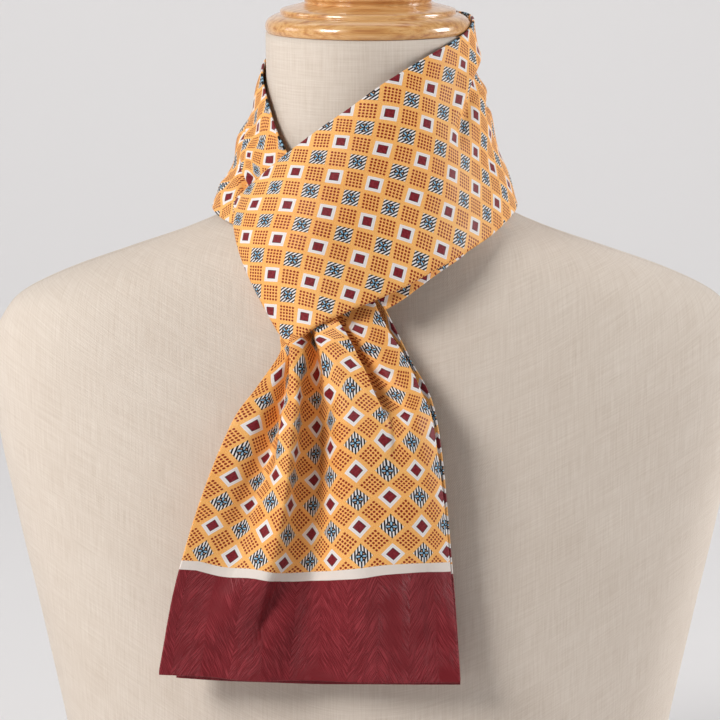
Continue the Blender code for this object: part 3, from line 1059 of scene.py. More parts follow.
# ---------------------------------------------------------------- the scarf round the neck
@dataclass
class Band:
    """A stretch that runs round the neck, from its upper to its lower edge.

    Each row of the table is a section across the cloth.  The belly is how far it stands out from the
    straight line between its edges, and the pleat is how deep its soft pleats are.  Each slip is a
    spot where the cloth is drawn together, so that its print lies some columns and rows further on:
    its place, its share across, how far it reaches along and across, the columns and the rows.
    """

    rows: Rows
    print_rows: Rows
    print_shift: float
    slips: Rows = ()

    COLUMNS = ("place", "top_angle", "top_radius", "top_height",
               "low_angle", "low_radius", "low_height", "belly", "pleat")
    PRINT_COLUMNS = ("place", "row_top", "row_middle", "row_low", "down_top", "down_middle", "down_low")
    BELLY_PEAK = 0.8
    PLEATS_ACROSS = 2.5
    LAST_COLUMN = 10.0

    def surface(self, places: np.ndarray, shares: np.ndarray) -> np.ndarray:
        """The stretch's middle surface.

        Args:
            places: the sections, in the table's own measure.
            shares: how far across, 0 at the upper edge and 1 at the lower one.

        Returns:
            The points, in rows and columns.
        """
        columns = table(self.COLUMNS, self.rows)
        read = {name: smooth_curve(columns["place"], columns[name], places) for name in self.COLUMNS[1:]}
        top = around(read["top_angle"], read["top_radius"], read["top_height"])[:, None, :]
        low = around(read["low_angle"], read["low_radius"], read["low_height"])[:, None, :]
        chord = unit(low - top)
        middle = (read["top_angle"] + read["low_angle"]) / 2.0
        outward = around(middle, np.ones_like(middle), np.zeros_like(middle))[:, None, :]
        outward = unit(outward - chord * np.sum(outward * chord, -1, keepdims=True))
        share = shares[None, :, None]
        swell = np.sin(math.pi * share ** self.BELLY_PEAK) * read["belly"][:, None, None]
        ripple = np.sin(2.0 * math.pi * self.PLEATS_ACROSS * share) * np.sin(math.pi * share)
        return top + (low - top) * share + outward * (swell + ripple * read["pleat"][:, None, None])

    def print_places(self, places: np.ndarray, shares: np.ndarray) -> np.ndarray:
        """Where the print's columns and rows fall on the stretch.

        Args:
            places: the sections.
            shares: how far across.

        Returns:
            Column and row at each point.
        """
        columns = table(self.PRINT_COLUMNS, self.print_rows)
        read = {name: smooth_curve(columns["place"], columns[name], places)[:, None]
                for name in self.PRINT_COLUMNS[1:]}
        share = shares[None, :]
        # a parabola through the upper edge, the middle and the lower edge
        ends, centre = (1.0 - share) * (1.0 - 2.0 * share), 4.0 * share * (1.0 - share)
        low = share * (2.0 * share - 1.0)
        row = ends * read["row_top"] + centre * read["row_middle"] + low * read["row_low"]
        down = ends * read["down_top"] + centre * read["down_middle"] + low * read["down_low"]
        across = self.LAST_COLUMN - down
        for place, spot, reach, spread, more_columns, more_rows in self.slips:
            near = np.exp(-((places[:, None] - place) / reach) ** 2 - ((share - spot) / spread) ** 2)
            across, row = across + near * more_columns, row + near * more_rows
        return np.stack([across, row + self.print_shift], -1)


WRAP_BAND = Band(
    rows=(
        (-2.4, -60.5, 84.4, 410, -24.3, 105.6, 336, 12.2, 0),
        (-1.3, -51.5, 83, 419, -17.4, 107.4, 346, 13.8, 0),
        (0.3, -37.2, 78.4, 435.6, -6.5, 107.4, 356.5, 13.5, 0),
        (2, -23.6, 73, 449.6, 7.5, 104.4, 367, 11.5, 0),
        (3.8, -8.8, 68.6, 463.2, 23.5, 98.9, 379, 9.5, 0),
        (5.8, 12.8, 64.6, 480, 42.5, 91.4, 389, 7, 0),
        (8, 37.6, 61.9, 492.7, 64.5, 85.6, 397, 3, 0.3),
        (10, 65, 60, 501, 84, 84.9, 402, -2, 0.9),
        (12, 94, 60, 507.5, 102.5, 84.6, 401.8, -3, 1),
        (13, 110, 60.1, 509, 114, 83.6, 401.4, -3, 1),
    ),
    print_rows=(
        (-2.4, -2, -2.7, -3.15, -0.22, 3.05, 6.38),
        (-1, -0.52, -1.4, -1.72, -0.2, 3.12, 6.38),
        (1, 1.62, 0.68, 0.38, 0, 3.15, 6.4),
        (3, 3.38, 2.8, 2.72, 0.03, 3.3, 6.38),
        (5, 5.22, 4.91, 5.05, 0.03, 3.24, 6.42),
        (7, 7.1, 7.27, 7.18, -0.05, 3.4, 6.65),
        (8.5, 8.5, 8.96, 8.66, 0, 3.58, 6.72),
        (9.5, 9.5, 10, 9.58, 0, 3.6, 6.8),
        (11, 11, 11.35, 11.1, 0, 3.5, 6.8),
        (13, 13, 13.1, 13.1, 0, 3.4, 6.8),
    ),
    print_shift=41.0,
    slips=((9.6, 0.22, 1.9, 0.2, 0.0, -0.5),),
)

LOOP_BAND = Band(
    rows=(
        (13, 110.4, 60.1, 509, 114.35, 83.6, 401.4, -3, 1),
        (15, 140, 60.2, 509, 140, 81, 400.5, -3, 1),
        (17.5, 180, 60.4, 503.5, 180, 80.4, 401, -3, 1),
        (20, 220, 60.6, 493, 220, 81.6, 400.5, -3, 1.3),
        (22, 250, 60.6, 484, 247, 85, 400.5, -2.5, 1.8),
        (23.5, 272, 60.8, 477.5, 268.5, 88.4, 401, -2, 1.6),
        (24.8, 290, 61.8, 466, 286.5, 87.8, 398, -3, 1.5),
        (26.2, 309, 65.4, 445.5, 307.6, 89.2, 393, -5, 0.9),
        (27.4, 324, 71, 431, 318.4, 97.6, 379, -3, 0.5),
        (28.6, 343, 78, 413, 325.5, 100, 361, -1, 0.5),
        (29.6, 357.5, 85.5, 397, 330.5, 98.8, 351, 0, 0.3),
        (30.2, 364, 89.5, 386, 333, 98.5, 347, 0, 0),
    ),
    print_rows=(
        (13, 13, 13.1, 13.1, 0, 3.4, 6.8),
        (15, 15.1, 15.2, 15.3, 0, 3.2, 6.4),
        (17.5, 18, 18.3, 18.75, 0, 3, 6),
        (20, 20.9, 21.5, 22.2, 0, 2.8, 5.6),
        (22, 23.1, 23.9, 24.7, 0, 2.6, 5.3),
        (23.5, 24.4, 25.3, 26.7, 0, 2.4, 4.9),
        (24.57, 26, 27.2, 28, 0, 2.4, 4.8),
        (26.2, 28.5, 29.6, 30.2, 0, 2.4, 4.8),
        (27.4, 30.2, 31.2, 32, 0, 2.4, 4.8),
        (30.2, 34.5, 35, 35.5, 0, 2.4, 4.8),
    ),
    print_shift=41.0,
    slips=(
        (25.6, 0.38, 0.9, 0.22, 0.6, 0.28), (25.2, 0.57, 0.45, 0.1, -0.5, 0.3),
        (24.35, 0.2, 0.45, 0.22, 0, -0.45), (24.1, 0.66, 0.5, 0.15, 0, -0.4),
        (24.9, 0.85, 0.4, 0.2, 0, -0.3),
    ),
)


@dataclass
class FrontWrap:
    """The wide stretch that crosses the front, folded under below and back at the left."""

    stations: int = 240
    columns: int = 112
    lower_radius: float = 1.9
    lower_flap: float = 10.0
    side_top_radius: float = 4.5
    side_low_radius: float = 5.4
    side_open: float = 0.12
    side_closes: float = 0.28
    side_free: float = 0.62
    side_least: float = 0.14
    side_flap: float = 3.0
    bend_steps: int = 10
    flap_steps: int = 6
    calm_start: float = 1.2
    calm_end: float = 1.0
    calm_edge: float = 0.08
    edge_lift: float = 0.15
    slack: float = 0.5
    creases: tuple[Crease, ...] = (
        Crease((12.6, 0.19), (6.0, 0.47), 1.7, 4.6, bow=-0.014, fade_start=0.12),
        Crease((12.6, 0.265), (6.1, 0.56), -3.0, 4.6, bow=-0.018, fade_start=0.12),
        Crease((12.6, 0.37), (9.4, 0.38), 1.7, 4.2, fade_start=0.2),
        Crease((12.6, 0.44), (10.0, 0.46), -2.8, 3.2, fade_start=0.2),
        Crease((10.8, 0.66), (7.4, 0.82), -0.9, 5.0, bow=-0.03),
        Crease((3.0, 0.9), (6.2, 0.72), 0.7, 7.0, bow=0.04),
        Crease((-1.6, 0.62), (2.6, 0.55), 0.7, 8.0),
        Crease((-1.9, 0.30), (1.4, 0.36), -0.7, 7.0),
        Crease((1.5, 0.12), (5.5, 0.22), 0.6, 9.0),
    )

    def lower_path(self) -> tuple[np.ndarray, np.ndarray, np.ndarray]:
        """The folded lower edge's half turn and flap, step by step.

        Returns:
            How far forward, how deep behind the face, and how much cloth it takes.
        """
        turn = np.linspace(0.0, math.pi, self.bend_steps + 1)[1:]
        flap = np.linspace(0.0, self.lower_flap, self.flap_steps + 1)[1:]
        forward = np.concatenate([self.lower_radius * np.sin(turn), -flap])
        depth = np.concatenate([self.lower_radius * (1.0 - np.cos(turn)),
                                np.full_like(flap, 2.0 * self.lower_radius)])
        cloth = np.concatenate([self.lower_radius * turn, self.lower_radius * math.pi + flap])
        return forward, depth, cloth

    def fold_below(self, grid: np.ndarray, printed: np.ndarray) -> tuple[np.ndarray, np.ndarray]:
        """Fold the lower edge under along its whole length.

        Args:
            grid: the face's points.
            printed: the print's places.

        Returns:
            Both with the folded columns added.
        """
        normal, _, across = surface_frame(grid)
        forward, depth, cloth = self.lower_path()
        added = [grid[:, -1] + across[:, -1] * step - normal[:, -1] * drop
                 for step, drop in zip(forward, depth)]
        further = [printed[:, -1] - np.array([length / COLUMN_WIDTH, 0.0]) for length in cloth]
        return (np.concatenate([grid, np.stack(added, 1)], 1),
                np.concatenate([printed, np.stack(further, 1)], 1))

    def fold_left(self, face: np.ndarray, folded: np.ndarray,
                  printed: np.ndarray) -> tuple[np.ndarray, np.ndarray]:
        """Turn the left end back round the gathered strand.

        Args:
            face: the face's points.
            folded: the face with its lower fold.
            printed: the print's places on it.

        Returns:
            The points and the print's places, with the turned rows before them.
        """
        normal, along, _ = surface_frame(face)
        columns = face.shape[1]
        extra = folded.shape[1] - columns
        share = np.concatenate([np.linspace(0.0, 1.0, columns), np.ones(extra)])
        radius = self.side_top_radius + (self.side_low_radius - self.side_top_radius) * share
        under = np.concatenate([np.zeros(columns), self.lower_path()[1]])
        closed = ramp(share, self.side_open, self.side_open + self.side_closes)
        turned = np.maximum(closed * (1.0 - ramp(share, self.side_free, 1.0)), self.side_least)
        normal = np.concatenate([normal[0], np.repeat(normal[0, -1:], extra, 0)])
        ahead = -np.concatenate([along[0], np.repeat(along[0, -1:], extra, 0)])
        start = folded[0] + normal * under[:, None]
        stations, lengths = [], []
        for step in np.linspace(0.0, 1.0, self.bend_steps + 1)[1:]:
            turn = math.pi * step * turned
            reach = (radius - under) * np.sin(turn)
            drop = radius - (radius - under) * np.cos(turn)
            stations.append(start + ahead * reach[:, None] - normal * drop[:, None])
            lengths.append(radius * turn)
        bend_end = stations[-1]
        onward = ahead * np.cos(turn)[:, None] - normal * np.sin(turn)[:, None]
        for length in np.linspace(0.0, self.side_flap, self.flap_steps + 1)[1:]:
            stations.append(bend_end + onward * (length * turned)[:, None])
            lengths.append(radius * turn + length * turned)
        before = [printed[0] - np.stack([np.zeros_like(length), length / ROW_LENGTH], -1)
                  for length in lengths]
        return (np.concatenate([np.stack(stations[::-1]), folded], 0),
                np.concatenate([np.stack(before[::-1]), printed], 0))

    def build(self, satin: bpy.types.Material) -> bpy.types.Object:
        """The stretch with its creases and folds.

        Args:
            satin: its cloth.

        Returns:
            The object.
        """
        places = np.linspace(WRAP_BAND.rows[0][0], WRAP_BAND.rows[-1][0], self.stations)
        shares = np.linspace(0.0, 1.0, self.columns)
        face = WRAP_BAND.surface(places, shares)
        normal, lift = creased(face, self.creases, places, shares, self.slack)
        calm = ramp(places, places[0], places[0] + self.calm_start)
        calm = calm * ramp(places, places[-1], places[-1] - self.calm_end)
        below = np.maximum(ramp(shares, 1.0, 1.0 - self.calm_edge), self.edge_lift)
        lift = lift * calm[:, None] * below
        face = face + normal * lift[..., None]
        folded, printed = self.fold_below(face, WRAP_BAND.print_places(places, shares))
        wrap = ClothShell(*self.fold_left(face, folded, printed)).build("front_wrap", satin)
        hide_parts("scarf_front_wrap")
        return wrap


@dataclass
class NeckLoop:
    """The gathered stretch round the back of the neck and over the left shoulder."""

    stations: int = 300
    columns: int = 110
    calm: float = 1.0
    calm_from: float = 27.0
    slack: float = 0.5
    creases: tuple[Crease, ...] = (
        Crease((23.2, 0.42), (25.0, 0.52), 1.6, 3.0, bow=0.05),
        Crease((24.2, 0.60), (25.9, 0.775), -6.0, 3.2, lean=0.35),
        Crease((24.5, 0.53), (26.0, 0.67), 2.6, 2.4, lean=-0.3),
        Crease((25.2, 0.575), (26.1, 0.545), -1.8, 1.5, fade_start=0.5),
        Crease((23.2, 0.80), (25.4, 0.90), 1.4, 4.0),
        Crease((23.4, 0.33), (24.4, 0.47), -1.2, 2.4),
        Crease((16.0, 0.30), (20.5, 0.36), 1.1, 6.0),
        Crease((14.2, 0.66), (18.6, 0.60), -1.0, 5.0),
        Crease((18.5, 0.78), (22.5, 0.72), 1.2, 6.0),
    )

    def build(self, satin: bpy.types.Material) -> bpy.types.Object:
        """The stretch with its creases.

        Args:
            satin: its cloth.

        Returns:
            The object.
        """
        places = np.linspace(LOOP_BAND.rows[0][0], LOOP_BAND.rows[-1][0], self.stations)
        shares = np.linspace(0.0, 1.0, self.columns)
        face = LOOP_BAND.surface(places, shares)
        normal, lift = creased(face, self.creases, places, shares, self.slack)
        calm = ramp(places, places[0], places[0] + self.calm)
        calm = calm * ramp(places, self.calm_from, self.calm_from - self.calm)
        face = face + normal * (lift * calm[:, None])[..., None]
        loop = ClothShell(face, LOOP_BAND.print_places(places, shares)).build("neck_loop", satin)
        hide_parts("scarf_neck_loop")
        return loop


@dataclass
class UnderLayer:
    """The narrow layer that looks out below the wrap's lower right edge."""

    rows: Rows = ((1.5, 8.8), (2.2, 7.6), (3.0, 5.8), (4.0, 4.2), (5.2, 3.4), (6.2, 0.5), (6.8, -1.5))
    depth: float = 5.9
    tuck: float = 11.0
    stations: int = 110
    columns: int = 24
    face_columns: int = 60
    print_shift: float = 0.52

    COLUMNS = ("place", "peek")

    def build(self, satin: bpy.types.Material) -> bpy.types.Object:
        """The layer, its lower edge a soft fold.

        Args:
            satin: its cloth.

        Returns:
            The object.
        """
        rows = table(self.COLUMNS, self.rows)
        places = np.linspace(self.rows[0][0], self.rows[-1][0], self.stations)
        shares = np.linspace(0.0, 1.0, self.face_columns)
        face = WRAP_BAND.surface(places, shares)
        printed = WRAP_BAND.print_places(places, shares)[:, -1]
        normal, _, across = surface_frame(face)
        peek = smooth_curve(rows["place"], rows["peek"], places)
        columns, marks = [], []
        for share in np.linspace(0.0, 1.0, self.columns):
            drop = -self.tuck + (peek + self.tuck) * share
            columns.append(face[:, -1] + across[:, -1] * drop[:, None] - normal[:, -1] * self.depth)
            shift = drop / COLUMN_WIDTH + self.print_shift
            marks.append(printed - np.stack([shift, np.zeros_like(shift)], -1))
        layer = ClothShell(np.stack(columns, 1), np.stack(marks, 1)).build("under_layer", satin)
        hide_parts("scarf_under_layer")
        return layer


# ---------------------------------------------------------------- the tails
@dataclass
class Tail:
    """An end of the scarf that hangs in front.

    Each section is a level line across the tail, from the hem upwards.  Its rows say, for a place
    across in the print's columns, how far right the cloth lies and how far behind the tail's own
    plane there.  A fold that hides part of the cloth doubles back in its section.  The levels give
    each section's place, its height, how far forward its plane is, and how much higher its right end
    lies.  The hem and the dips bend the two lowest sections.  Each of the print's levels is a row of
    the print and the level where it lies, at each of the places of print_across.  The crowding gives
    the places of the mesh's columns, which lie closer on the pleat.
    """

    sections: tuple[Rows, ...]
    levels: Rows
    hem: Rows
    dips: Rows
    print_across: tuple[float, ...]
    print_levels: Rows
    columns: int
    level_steps: tuple[int, ...]
    crowding: Rows = ((0.0, 0.0), (1.0, 9.7))

    LEVEL_COLUMNS = ("place", "height", "plane", "tilt")
    COLUMN_SHIFT = 0.37
    LINE_SECTION = 1

    def measures(self) -> tuple[np.ndarray, np.ndarray]:
        """How the tail is divided.

        Returns:
            The levels of its rows, and the places of its columns.
        """
        levels = [np.linspace(start, start + 1.0, count, endpoint=False)
                  for start, count in enumerate(self.level_steps)]
        levels.append(np.array([float(len(self.level_steps))]))
        shares, places = np.array(self.crowding).T
        return np.concatenate(levels), np.interp(np.linspace(0.0, 1.0, self.columns), shares, places)

    def surface(self, upper_edge: np.ndarray) -> np.ndarray:
        """The tail's middle surface, hem first.

        Args:
            upper_edge: the points of its upper edge, left to right.

        Returns:
            The points, in rows and columns.
        """
        level = table(self.LEVEL_COLUMNS, self.levels)
        levels, across = self.measures()
        lines = []
        for index, rows in enumerate(self.sections):
            knots = np.array(rows)
            read = smooth_curve(knots[:, 0], knots[:, 1:], across)
            height = level["height"][index] + level["tilt"][index] * across / across[-1]
            for section, bends in ((0, self.hem), (self.LINE_SECTION, self.dips)):
                if index == section:
                    height = height + smooth_curve(*np.array(bends).T, across)
            lines.append(np.stack([read[:, 0], read[:, 1] - level["plane"][index], height], -1))
        lines.append(upper_edge)
        places = np.append(level["place"], float(len(self.level_steps)))
        return smooth_curve(places, np.stack(lines), levels)

    def cloth_across(self, levels: np.ndarray, across: np.ndarray) -> np.ndarray:
        """The print's column at each point: here the same at every level."""
        return np.broadcast_to(across, (len(levels), len(across)))

    def print_places(self) -> np.ndarray:
        """Where the print falls, from the levels at which its rows lie.

        Returns:
            Column and row at each point.
        """
        marks = np.array(self.print_levels)
        levels, across = self.measures()
        knots = self.print_across
        lines = smooth_curve(knots, marks[:, 1:].T, np.clip(across, knots[0], knots[-1]))
        row = np.stack([smooth_curve(line, marks[:, 0], levels) for line in lines], 1)
        return np.stack([self.cloth_across(levels, across) + self.COLUMN_SHIFT, row], -1)


@dataclass
class FrontTail(Tail):
    """The pleated end that hangs in front."""

    sections: tuple[Rows, ...] = (
        (
            (0, -116.3, 0), (0.63, -105.6, 0), (1.3, -94.3, 0), (2, -82.6, 0.2),
            (2.7, -70.9, -1.5), (3.3, -60.3, -1), (4, -48.6, 1.3), (4.8, -35.2, 2.8),
            (5.4, -24.7, 2.2), (6.2, -10.7, -0.2), (7, 2.6, -1.2), (8, 19.9, -1.2),
            (8.6, 31.1, -0.3), (9.3, 43, 0.3), (9.7, 50.8, 0),
        ),
        (
            (0, -103.4, 0), (0.63, -94.4, 0), (1.3, -82.9, 1.2), (1.8, -74, 1.2),
            (2.3, -66.5, -1.8), (2.63, -61.4, -4.8), (3.15, -53.9, -7.8), (3.4, -50.6, -6.6),
            (3.63, -47.3, -4.2), (4, -42.1, 0.6), (4.4, -36, 5.4), (4.7, -31.6, 7.2),
            (5, -27.7, 6), (5.5, -21.3, 1.2), (6, -13.8, -3.6), (6.5, -5.4, -6.6), (7, 2.9, -7.8),
            (8, 20.6, -7.8), (8.63, 31.1, -6), (9, 36.2, -3.6), (9.3, 39.8, -1.2),
            (9.7, 44.8, 2.4),
        ),
        (
            (0, -90.5, 0), (0.63, -78.3, 0), (1, -72, 1.2), (1.4, -65.6, 3.8), (1.8, -60.4, 5),
            (2.1, -57.6, 3.1), (2.5, -53.9, -3.1), (2.9, -49.4, -8.1), (3.25, -45.5, -10.6),
            (3.55, -43.1, -6.2), (3.85, -40.9, 0), (4.2, -36.8, 5), (4.6, -30.7, 9.4),
            (4.9, -27.1, 10), (5.2, -24.6, 6.2), (5.6, -21.1, -1.9), (6, -16.2, -7.5),
            (6.4, -9.9, -10.6), (7, 0.6, -11.5), (8, 18.1, -11.5), (8.63, 28, -10), (9, 33, -7.5),
            (9.3, 36.4, -5), (9.7, 40.3, -0.6),
        ),
        (
            (0, -75, 1.2), (0.3, -69.4, 0), (0.63, -62.5, 0), (0.95, -57.8, 3.1),
            (1.3, -53.7, 6.9), (1.63, -50.1, 9.4), (1.85, -48.2, 9), (2.1, -46.7, 3.8),
            (2.3, -46.7, -1.2), (2.45, -47.5, -5), (2.6, -48, -8.5), (2.8, -46.6, -10.8),
            (3, -44.6, -12.2), (3.3, -41.3, -12.9), (3.5, -39.4, -10), (3.75, -38.3, -5),
            (3.95, -37.3, -0.6), (4.2, -34.3, 4), (4.63, -28.8, 10), (4.95, -25.4, 11.2),
            (5.2, -23.2, 8.1), (5.63, -20.2, 0), (5.89, -17.9, -6.6), (6.19, -13.2, -11.2),
            (6.47, -7.9, -12.9), (6.86, -0.5, -13.8), (7.2, 5.4, -14.4), (7.45, 9.5, -14.2),
            (7.6, 11, -13), (7.8, 12.2, -10.4), (8, 13.5, -9.6), (8.3, 17.6, -9.8),
            (8.63, 22.1, -11.2), (9, 26.5, -11), (9.3, 30.2, -8.1), (9.7, 35, -2.5),
        ),
        (
            (0, -61.8, 5.3), (0.3, -58.1, 4.1), (0.63, -53.6, 3.8), (0.95, -50.2, 6.3),
            (1.3, -47.5, 8.8), (1.63, -45.6, 10.3), (1.9, -44.4, 9.7), (2.2, -43.8, 5.8),
            (2.45, -44.2, 2), (2.65, -44.6, -1.4), (2.85, -44.1, -4), (3.1, -43.2, -7.1),
            (3.3, -40.4, -10.1), (3.55, -38.5, -8.3), (3.8, -37.4, -4), (4.1, -35.4, 1.7),
            (4.4, -31.9, 6.6), (4.7, -28.2, 9.9), (4.92, -26.3, 10.6), (5.05, -25.5, 9),
            (5.2, -24.9, 5.3), (5.35, -24.3, 1.8), (5.5, -23.6, -1.2), (5.6, -21.4, -5.2),
            (5.95, -17.8, -9.4), (6.3, -13.9, -12), (6.63, -10, -13.2), (7, -3.9, -14.4),
            (7.3, 0.9, -15.1), (7.45, 2.9, -14.2), (7.52, 2.3, -11.3), (7.62, 0.3, -8.4),
            (7.72, -0.7, -5.4), (7.8, -0.5, -2.2), (7.9, 1.3, 0), (8, 3.8, 0.6), (8.3, 8.9, -0.4),
            (8.63, 14.4, -4.2), (9, 20.3, -6.8), (9.3, 24.2, -6.6), (9.7, 28.4, -2.4),
        ),
        (
            (0, -48.6, 8), (0.3, -46.7, 7), (0.63, -44.7, 6.5), (0.8, -43.6, 7.2), (1, -42.3, 8.5),
            (1.3, -41.4, 9.6), (1.9, -40.9, 10), (2.4, -40.8, 8), (2.8, -41.9, 3),
            (3.05, -43.2, -1.5), (3.2, -42.4, -3), (3.4, -39.9, -3.6), (3.63, -36.6, -3),
            (3.85, -34.6, -1), (4.1, -32.7, 2), (4.4, -30.8, 5), (4.7, -28.8, 7.4),
            (4.9, -27.7, 7.8), (5.05, -27, 6), (5.2, -26.5, 2.6), (5.35, -26.5, -1.2),
            (5.5, -26, -4), (5.6, -24.8, -5), (5.87, -22.2, -7.4), (6.15, -19.6, -9.2),
            (6.56, -15.5, -10.6), (7.01, -10.2, -11.6), (7.3, -7, -12), (7.45, -5.9, -11),
            (7.52, -6.7, -8.8), (7.6, -10.1, -7), (7.68, -13.3, -5.2), (7.74, -14.8, -3.2),
            (7.8, -14.8, 0.4), (7.86, -12.7, 1.6), (7.93, -9, 1.4), (8, -5.5, 0.6),
            (8.3, -1.5, -1.8), (8.6, 3.5, -5), (9, 9.8, -5.4), (9.3, 14.6, -4.6),
            (9.7, 19.3, -1.4),
        ),
        (
            (0, -48.6, 6), (0.63, -45.3, 5.5), (1.3, -42, 7.5), (1.9, -41.1, 8.4), (2.4, -41.1, 7),
            (2.8, -42.2, 2.5), (3.05, -43, -1.4), (3.4, -39.9, -3), (3.63, -37.4, -2.6),
            (3.85, -35.7, -0.6), (4.1, -34.3, 2.5), (4.4, -33.1, 5.6), (4.7, -32, 7.8),
            (4.9, -31.3, 8), (5.05, -30.7, 6), (5.2, -30.2, 2.8), (5.35, -29.8, -0.8),
            (5.5, -28.9, -3.6), (5.6, -27.6, -5.6), (5.95, -24.2, -7.8), (6.34, -20.8, -9.2),
            (6.9, -16.7, -10.4), (7.25, -14.2, -10.8), (7.45, -13, -9.8), (7.52, -13.8, -7.8),
            (7.6, -17.9, -6), (7.68, -21.5, -4.2), (7.74, -23.3, -2.4), (7.8, -23.3, -0.6),
            (7.86, -21.3, 0.4), (7.93, -16.8, 0), (8, -12.6, -1.2), (8.3, -9.3, -2.8),
            (8.6, -4.9, -4), (9, 0.7, -4.8), (9.3, 5.1, -4.2), (9.7, 9.8, -1.2),
        ),
        (
            (0, -48.1, 4.5), (0.63, -44.7, 4), (1.3, -41.4, 5.5), (1.9, -40.3, 6), (2.8, -39.4, 1),
            (3.4, -37.4, -2), (3.85, -35.4, -0.5), (4.4, -33.9, 3.8), (4.9, -32.5, 5.4),
            (5.2, -31.3, 2), (5.5, -30.2, -1.6), (5.95, -26.8, -3.8), (6.34, -24.8, -5),
            (6.9, -22.1, -6), (7.25, -20.7, -6.4), (7.45, -20, -5.6), (7.52, -20.9, -4),
            (7.6, -22.9, -3), (7.68, -25.4, -1.8), (7.74, -26.8, -0.6), (7.8, -26.9, 0.8),
            (7.86, -25.5, 1.4), (7.93, -22.7, 1.2), (8, -19.7, 0.4), (8.3, -17.5, -0.6),
            (8.6, -14.3, -1.4), (9, -8.5, -2), (9.3, -3.8, -1.8), (9.7, 2.7, -0.5),
        ),
    )
    levels: Rows = (
        (0, 149.3, 118, 0), (1, 215.5, 120, 0), (1.5, 256.4, 119, 0),
        (2, 293.5, 116.5, 0), (2.5, 311, 108.5, 0), (3, 329, 98.5, 0),
        (3.35, 337, 95.5, 7), (3.6, 341, 92.5, 18),
    )
    hem: Rows = ((0.0, 3.3), (1.35, 2.2), (2.3, 0.8), (3.7, -0.3), (5.0, -0.9), (7.0, -0.9), (9.7, -1.4))
    dips: Rows = (
        (0, 0), (0.63, -0.5), (1.3, -1), (2, -1.5), (2.7, -2), (3.3, -2.8), (4, -4),
        (4.8, -4.2), (5.4, -3.2), (6.2, -1.4), (7, -0.6), (8, -0.3), (9.7, 0),
    )
    print_across: tuple[float, ...] = (0.62, 1.6, 2.63, 3.63, 4.6, 5.63, 6.6, 7.45, 8.6, 9.65)
    print_levels: Rows = (
        (-3.53, 0, 0, 0, 0, 0, 0, 0, 0, 0, 0),
        (0.6, 1.018, 0.977, 0.987, 0.976, 0.973, 0.978, 0.996, 1.012, 1.014, 1),
        (2, 1.262, 1.24, 1.24, 1.225, 1.212, 1.235, 1.275, 1.275, 1.27, 1.262),
        (3, 1.42, 1.386, 1.432, 1.409, 1.38, 1.409, 1.455, 1.477, 1.477, 1.46),
        (4, 1.591, 1.545, 1.614, 1.591, 1.545, 1.591, 1.659, 1.659, 1.659, 1.66),
        (5, 1.773, 1.705, 1.8, 1.773, 1.727, 1.795, 1.864, 1.886, 1.864, 1.909),
        (6, 1.977, 1.886, 2, 2.025, 1.932, 2.025, 2.125, 2.15, 2.1, 2.225),
        (7, 2.3, 2.2, 2.33, 2.425, 2.275, 2.45, 2.575, 2.52, 2.425, 2.6),
        (8, 2.675, 2.62, 2.72, 2.8, 2.675, 2.85, 2.925, 2.86, 2.75, 2.95),
        (9, 3.088, 3.08, 3.13, 3.235, 3.16, 3.265, 3.25, 3.16, 3.088, 3.18),
        (10, 3.35, 3.35, 3.38, 3.43, 3.4, 3.44, 3.43, 3.39, 3.353, 3.441),
        (11, 3.58, 3.58, 3.6, 3.62, 3.6, 3.62, 3.62, 3.59, 3.559, 3.6),
        (12.6, 4, 4, 4, 4, 4, 4, 4, 4, 4, 4),
    )
    # where the pleat's edge and the place below it lie in the cloth, level by level
    pleat: Rows = (
        (1.5, 7.45, 8), (2, 7.8, 8), (2.5, 7.43, 8), (3, 6.92, 8.05), (3.35, 6.6, 8.11),
        (3.6, 6.25, 8.22), (4, 7.45, 8),
    )
    pleat_between: tuple[float, ...] = (5.6, 7.45, 8.0, 9.0)
    crowding: Rows = ((0.0, 0.0), (0.49, 5.0), (0.69, 7.2), (0.83, 8.05), (1.0, 9.7))
    columns: int = 264
    level_steps: tuple[int, ...] = (26, 44, 40, 34)
    solid_stations: int = 37
    seam_step: float = 0.4
    slack: float = 0.4
    hem_roll: float = 1.3
    hem_reach: float = 0.05
    calm_from: float = 3.4
    calm: float = 0.6
    creases: tuple[Crease, ...] = (
        Crease((2.45, 8.1), (2.1, 8.9), -1.3, 3.0),
        Crease((2.25, 7.7), (1.75, 8.5), 0.9, 4.0),
        Crease((1.1, 4.15), (0.15, 2.6), -8.5, 8.5, fade_start=0.42, fade_end=0.5),
        Crease((1.0, 2.3), (0.2, 1.4), 3.0, 9.0),
        Crease((1.2, 6.4), (0.1, 6.7), 3.0, 13.0),
        Crease((1.1, 8.6), (0.1, 9.0), -4.2, 9.0),
        Crease((1.9, 1.4), (1.2, 1.2), -0.8, 5.0),
    )

    def cloth_across(self, levels: np.ndarray, across: np.ndarray) -> np.ndarray:
        """The print's column at each point.

        Args:
            levels: the rows' levels.
            across: the columns' places.

        Returns:
            The place in the cloth, which slides over the pleat's slanting edge.
        """
        place, edge, below = np.array(self.pleat).T
        first, *_, last = self.pleat_between
        marks = zip(np.interp(levels, place, edge), np.interp(levels, place, below))
        knots = (0.0, *self.pleat_between, across[-1])
        return np.stack([np.interp(across, knots, (0.0, first, *pair, last, across[-1]))
                         for pair in marks])

    def build(self, satin: bpy.types.Material) -> bpy.types.Object:
        """The tail with its creases.

        Args:
            satin: its cloth.

        Returns:
            The object.
        """
        levels, across = self.measures()
        turned = 1.0 - across / across[-1]
